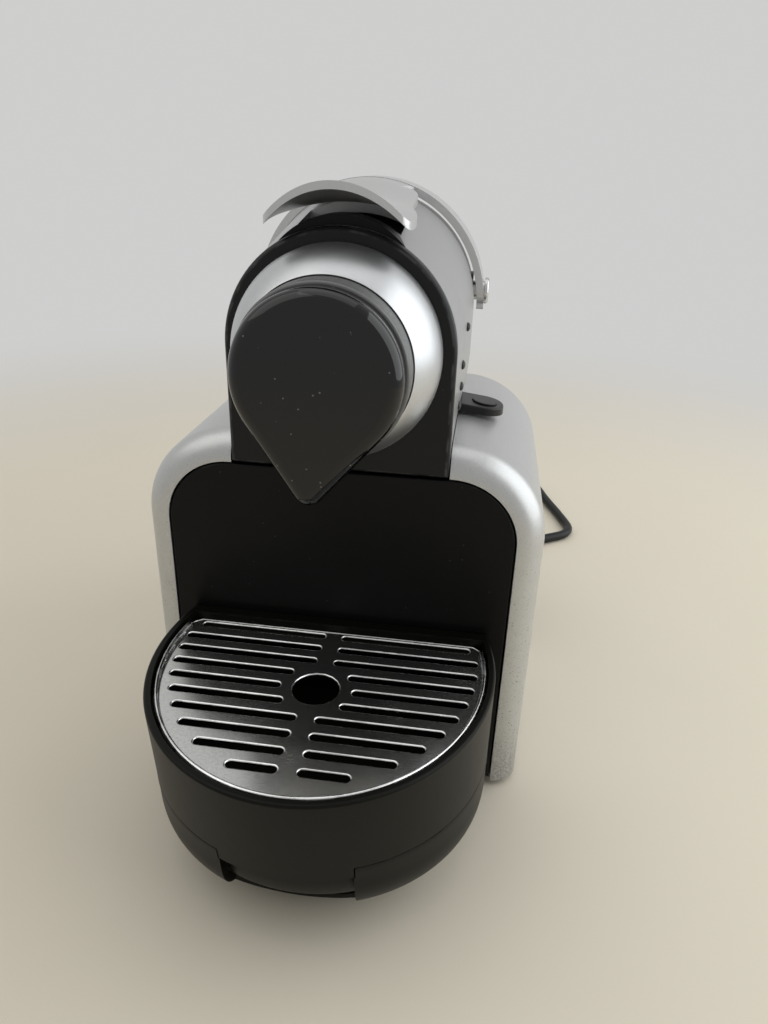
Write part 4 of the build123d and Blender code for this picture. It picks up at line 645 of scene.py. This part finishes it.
# sets one shape on every spot, each turned its own way, with a tree of geometry nodes
def repeatPiece(name, spots, sizes, shape, finish):
    tree = bpy.data.node_groups.new(name, "GeometryNodeTree")
    tree.interface.new_socket("Spots", in_out="INPUT", socket_type="NodeSocketGeometry")
    named = {}
    for label in sizes:
        named[label] = tree.interface.new_socket(label, in_out="INPUT", socket_type="NodeSocketFloat")
    tree.interface.new_socket("Pieces", in_out="OUTPUT", socket_type="NodeSocketGeometry")
    given = Wire(tree).node("NodeGroupInput")
    turn = given.node("GeometryNodeInputNamedAttribute", {"data_type": "FLOAT_VECTOR"}, {"Name": "turn"})
    facing = given.node("FunctionNodeEulerToRotation", None, {0: turn})
    spread = given.node("GeometryNodeInstanceOnPoints", None, {
        "Points": given, "Instance": shape(given), "Rotation": facing,
    })
    whole = given.node("GeometryNodeRealizeInstances", None, {0: spread})
    dressed = given.node("GeometryNodeSetMaterial", None, {0: whole, "Material": finish})
    given.node("NodeGroupOutput", None, {0: dressed})
    mesh = bpy.data.meshes.new(name)
    mesh.from_pydata([place for place, turned in spots], [], [])
    turns = mesh.attributes.new("turn", "FLOAT_VECTOR", "POINT")
    turns.data.foreach_set("vector", [angle for place, turned in spots for angle in turned])
    piece = bpy.data.objects.new(name, mesh)
    bpy.context.scene.collection.objects.link(piece)
    modifier = piece.modifiers.new("repeat", "NODES")
    modifier.node_group = tree
    for label, value in sizes.items():
        modifier[named[label].identifier] = value * mm
    settle(piece)
    return piece


screwForm = {
    "headSides": 24, "shankSides": 12,
    "taper": 0.82,  # top of the head, as a share of its foot
    "barLong": 1.3, "barWide": 0.26,  # bars of the cross recess, as shares of the head's radius
    "barLift": 0.95,  # middle of the bars, as a share of the head's height
}


# pan head with a cross recess on a plain shank, along +z from the seat of the head
def screwShape(given):
    radius, height, reach = (given.also(label) for label in ("Head radius", "Head height", "Shank length"))
    head = given.node("GeometryNodeMeshCone", None, {
        "Vertices": screwForm["headSides"], "Depth": height,
        "Radius Bottom": radius, "Radius Top": radius * screwForm["taper"],
    })
    cuts = given.node("GeometryNodeJoinGeometry")
    lift = given.node("ShaderNodeCombineXYZ", None, {2: height * screwForm["barLift"]})
    long, wide = radius * screwForm["barLong"], radius * screwForm["barWide"]
    for across, along in ((long, wide), (wide, long)):
        size = given.node("ShaderNodeCombineXYZ", None, {0: across, 1: along, 2: height})
        bar = given.node("GeometryNodeMeshCube", None, {"Size": size})
        moved = given.node("GeometryNodeTransform", None, {"Geometry": bar, "Translation": lift})
        given.tree.links.new(moved.socket, cuts.made.inputs[0])
    sides = {"Mesh 1": head, "Mesh 2": cuts}
    cross = given.node("GeometryNodeMeshBoolean", {"operation": "DIFFERENCE"}, sides)
    shank = given.node("GeometryNodeMeshCylinder", None, {
        "Vertices": screwForm["shankSides"], "Radius": given.also("Shank radius"), "Depth": reach,
    })
    drop = given.node("ShaderNodeCombineXYZ", None, {2: reach * -0.5})
    sunk = given.node("GeometryNodeTransform", None, {"Geometry": shank, "Translation": drop})
    whole = given.node("GeometryNodeJoinGeometry", None, {0: cross})
    given.tree.links.new(sunk.socket, whole.made.inputs[0])
    return whole


# low round plug that fills a small slot
def plugShape(given):
    ball = given.node("GeometryNodeMeshUVSphere", None, {"Segments": 20, "Rings": 12, "Radius": 1.0})
    size = given.node("ShaderNodeCombineXYZ", None, {
        0: given.also("Length") * 0.5, 1: given.also("Width") * 0.5, 2: given.also("Rise"),
    })
    return given.node("GeometryNodeTransform", None, {"Geometry": ball, "Scale": size})


# the points of each separate solid of a node
def solidsOf(node):
    work = bmesh.new()
    work.from_mesh(nodes[node].data)
    bmesh.ops.remove_doubles(work, verts=work.verts, dist=dressing["mergeGap"])
    left = dict.fromkeys(work.verts)  # keeps its order, so the solids come in the same order each time
    found = []
    while left:
        group, waiting = [], [left.popitem()[0]]
        while waiting:
            point = waiting.pop()
            group.append(point.co.copy())
            for link in point.link_edges:
                other = link.other_vert(point)
                if other in left:
                    left.pop(other)
                    waiting.append(other)
        found.append(group)
    work.free()
    return found


# where a screw's head sits, and the turn that points its head outwards
def screwSpot(points, headHeight):
    low = Vector([min(point[axis] for point in points) for axis in range(3)])
    high = Vector([max(point[axis] for point in points) for axis in range(3)])
    middle = (low + high) / 2
    axis = max(range(3), key=lambda each: high[each] - low[each])
    wide = max(points, key=lambda point: sum((point[k] - middle[k]) ** 2 for k in range(3) if k != axis))
    out = Vector([0.0, 0.0, 0.0])
    out[axis] = 1.0 if wide[axis] > middle[axis] else -1.0
    end = high if out[axis] > 0 else low
    under = middle.copy()
    under[axis] = end[axis] - out[axis] * headHeight
    return tuple(under), tuple(out.to_track_quat("Z", "Y").to_euler())


screwSizes = {"Head radius": 3.2, "Head height": 2.0, "Shank radius": 1.6, "Shank length": 9.0}
screwSpots = [screwSpot(points, screwSizes["Head height"] * mm) for points in solidsOf("case_screws")]
caseScrews = repeatPiece("caseScrews", screwSpots, screwSizes, screwShape, plainSteel)
seat(caseScrews, "machine", "steel", "case_screws")

plugSizes = {"Length": 4.8, "Width": 3.6, "Rise": 1.2}
plugPlaces = [  # millimetres, on the right flank; the left one mirrors them
    (44.28, -2.75, 200.0), (43.72, -13.75, 187.5), (43.62, -13.75, 179.0), (43.26, -13.75, 171.0),
]
plugSpots = [((side * x * mm, y * mm, z * mm), (math.pi / 2, 0, side * math.pi / 2))
             for side in (-1, 1) for x, y, z in plugPlaces]
flankPlugs = repeatPiece("flankPlugs", plugSpots, plugSizes, plugShape, paddleBlack)
seat(flankPlugs, "machine", "black_satin")
print("repeated pieces set:", len(screwSpots), "screws,", len(plugSpots), "plugs")

cordSetup = {
    "radius": 3.25,  # all in millimetres, as in the part's source
    "exit": (70, 102.25, 24),
    "length": 1031.3,
    "route": [
        (70, 102.25, 24), (70, 120, 24), (71.5, 143, 14), (75, 167, 5.5), (83, 191, 3.35), (104, 209, 3.35),
        (131, 225, 3.35), (123, 256, 3.35), (113, 287, 3.35), (106, 312, 4.70), (94, 332, 4.70),
        (72, 342, 4.70), (52, 342, 4.70),
    ],
    "coilCentre": (44, 300),
    "coilRadius": 42,
    "coilPitch": 7.5,
    "coilLow": 4.70,
    "coilStep": 7.1,
    "layerTurns": 1.25,
    "climbTurns": 0.5,
    "coilTurns": 3.0,
    "pointsPerTurn": 20,
    "plugStart": (16, 342, 11.80),
    "splineSteps": 6,
    "roundSteps": 6,
}


def coilPoint(turns, setup):
    climb = (turns - setup["layerTurns"]) / setup["climbTurns"]
    height = setup["coilLow"]
    if climb <= 0:
        inward = turns
    elif climb < 1:
        inward = setup["layerTurns"] + climb * (1 - climb) * setup["climbTurns"]
        height += setup["coilStep"] * (1 - math.cos(math.pi * climb)) / 2
    else:
        inward = setup["coilTurns"] - turns
        height += setup["coilStep"]
    radius = setup["coilRadius"] - setup["coilPitch"] * inward
    radius /= math.cos(math.pi / setup["pointsPerTurn"])  # the spline runs inside its control points
    angle = math.radians(90 + 360 * turns)
    centre = setup["coilCentre"]
    return (centre[0] + radius * math.cos(angle), centre[1] + radius * math.sin(angle), height)


def addCord(setup):
    steps = round(setup["coilTurns"] * setup["pointsPerTurn"])
    turns = [coilPoint((step + 0.5) / setup["pointsPerTurn"], setup) for step in range(steps)]
    points = setup["route"] + turns + [setup["plugStart"]]
    curve = bpy.data.curves.new("mainsCord", "CURVE")
    curve.dimensions = "3D"
    spline = curve.splines.new("NURBS")
    spline.points.add(len(points) - 1)
    for target, point in zip(spline.points, points):
        target.co = (*(Vector(point) * mm), 1.0)
    spline.order_u = 3
    spline.use_endpoint_u = True
    spline.resolution_u = setup["splineSteps"]
    curve.bevel_depth = setup["radius"] * mm
    curve.bevel_resolution = setup["roundSteps"]
    curve.use_fill_caps = True
    curve.materials.append(cordRubber)
    cord = bpy.data.objects.new("mainsCord", curve)
    bpy.context.scene.collection.objects.link(cord)
    seat(cord, "machine", "cord_black", "power_cord", "cord_coil")


addCord(cordSetup)
print("cord laid")

studio = {
    "floorSize": 60.0,
    "floorTone": (0.73, 0.67, 0.55),
    "floorShade": 0.98,  # its darker clouds
    "floorCloud": 6.0,
    "floorRough": 0.6,
    "speckScale": 900.0,
    "speckDepth": 0.0001,
    "speckStrength": 0.1,
    "wallTone": (0.62, 0.62, 0.615),
    "fadeFrom": 0.34,  # metres from the middle of the object
    "fadeTo": 1.0,
    "turnAway": (-0.7, 0.6),  # from the camera's side of the room to the far side
    "wallDark": 0.82,
    "roomDark": 0.30,
    "roomBright": 0.85,
    "ceiling": 0.30,
    "ceilingRise": (0.15, 0.85),
    "lamps": [  # name, place, size, watts, tone
        ("windowLamp", (1.0, 0.05, 0.50), 1.4, 10.0, (0.95, 0.98, 1.0)),
        ("roomLamp", (-0.9, -0.35, 1.2), 1.2, 3.4, (1.0, 0.98, 0.95)),
        ("topLamp", (0.0, 0.15, 1.7), 1.4, 3.6, (1.0, 1.0, 1.0)),
    ],
    "aim": (0.0, 0.0, 0.12),
}


# pale worktop that fades into the tone of the wall behind
def addFloor(setup):
    half = setup["floorSize"] / 2
    corners = [(-half, -half, 0), (half, -half, 0), (half, half, 0), (-half, half, 0)]
    mesh = bpy.data.meshes.new("paleFloor")
    mesh.from_pydata(corners, [], [(0, 1, 2, 3)])
    floor = bpy.data.objects.new("paleFloor", mesh)
    bpy.context.scene.collection.objects.link(floor)
    finish, wire = startFinish("paleFloor")
    place = wire.place()
    speck = place.noise(setup["speckScale"], detail=2.0)
    cloud = place.noise(setup["floorCloud"], detail=3.0).fade(*noiseRange)
    near = wire.node("ShaderNodeBsdfPrincipled", None, {
        "Base Color": cloud.mix(shifted(setup["floorTone"], setup["floorShade"]), setup["floorTone"]),
        "Roughness": setup["floorRough"],
        "Normal": speck.bump(setup["speckDepth"], setup["speckStrength"]),
    })
    away = wire.node("ShaderNodeVectorMath", {"operation": "LENGTH"}, {0: place}, out=1)
    ahead = wire.node("ShaderNodeVectorMath", {"operation": "NORMALIZE"}, {0: place}).parts()[1]
    wall = ahead.fade(*setup["turnAway"], setup["wallDark"], 1.0)
    far = wire.node("ShaderNodeEmission", None, {"Color": setup["wallTone"], "Strength": wall})
    gone = away.fade(setup["fadeFrom"], setup["fadeTo"])
    both = wire.node("ShaderNodeMixShader", None, {0: gone, 1: near, 2: far})
    last = finish.node_tree.nodes.new("ShaderNodeOutputMaterial")
    finish.node_tree.links.new(both.socket, last.inputs["Surface"])
    mesh.materials.append(finish)


# pale room, lit unevenly; what is seen and mirrored of it is nearly even
def addWorld(setup):
    world = bpy.data.worlds.new("paleRoom")
    world.use_nodes = True
    world.node_tree.nodes.clear()
    wire = Wire(world.node_tree)
    ahead, up = wire.node("ShaderNodeTexCoord").also("Generated").parts()[1:]
    level = ahead.fade(*setup["turnAway"], setup["roomDark"], setup["roomBright"])
    level = level + up.fade(*setup["ceilingRise"], 0.0, setup["ceiling"])
    light = wire.node("ShaderNodeBackground", None, {"Color": setup["wallTone"], "Strength": level})
    wall = ahead.fade(*setup["turnAway"], setup["wallDark"], 1.0)
    pale = wire.node("ShaderNodeBackground", None, {"Color": setup["wallTone"], "Strength": wall})
    path = wire.node("ShaderNodeLightPath")
    seen = path.also("Is Camera Ray") + path.also("Is Glossy Ray") + path.also("Is Transmission Ray")
    both = wire.node("ShaderNodeMixShader", None, {0: seen, 1: light, 2: pale})
    last = world.node_tree.nodes.new("ShaderNodeOutputWorld")
    world.node_tree.links.new(both.socket, last.inputs["Surface"])
    bpy.context.scene.world = world


def addLamps(setup):
    for name, place, size, watts, tone in setup["lamps"]:
        data = bpy.data.lights.new(name, "AREA")
        data.shape = "SQUARE"
        data.size = size
        data.energy = watts
        data.color = tone
        lamp = bpy.data.objects.new(name, data)
        bpy.context.scene.collection.objects.link(lamp)
        lamp.location = place
        lamp.rotation_euler = (Vector(setup["aim"]) - Vector(place)).to_track_quat("-Z", "Y").to_euler()


addFloor(studio)
addWorld(studio)
addLamps(studio)
bpy.context.scene.view_settings.view_transform = "Standard"
print("studio lit")
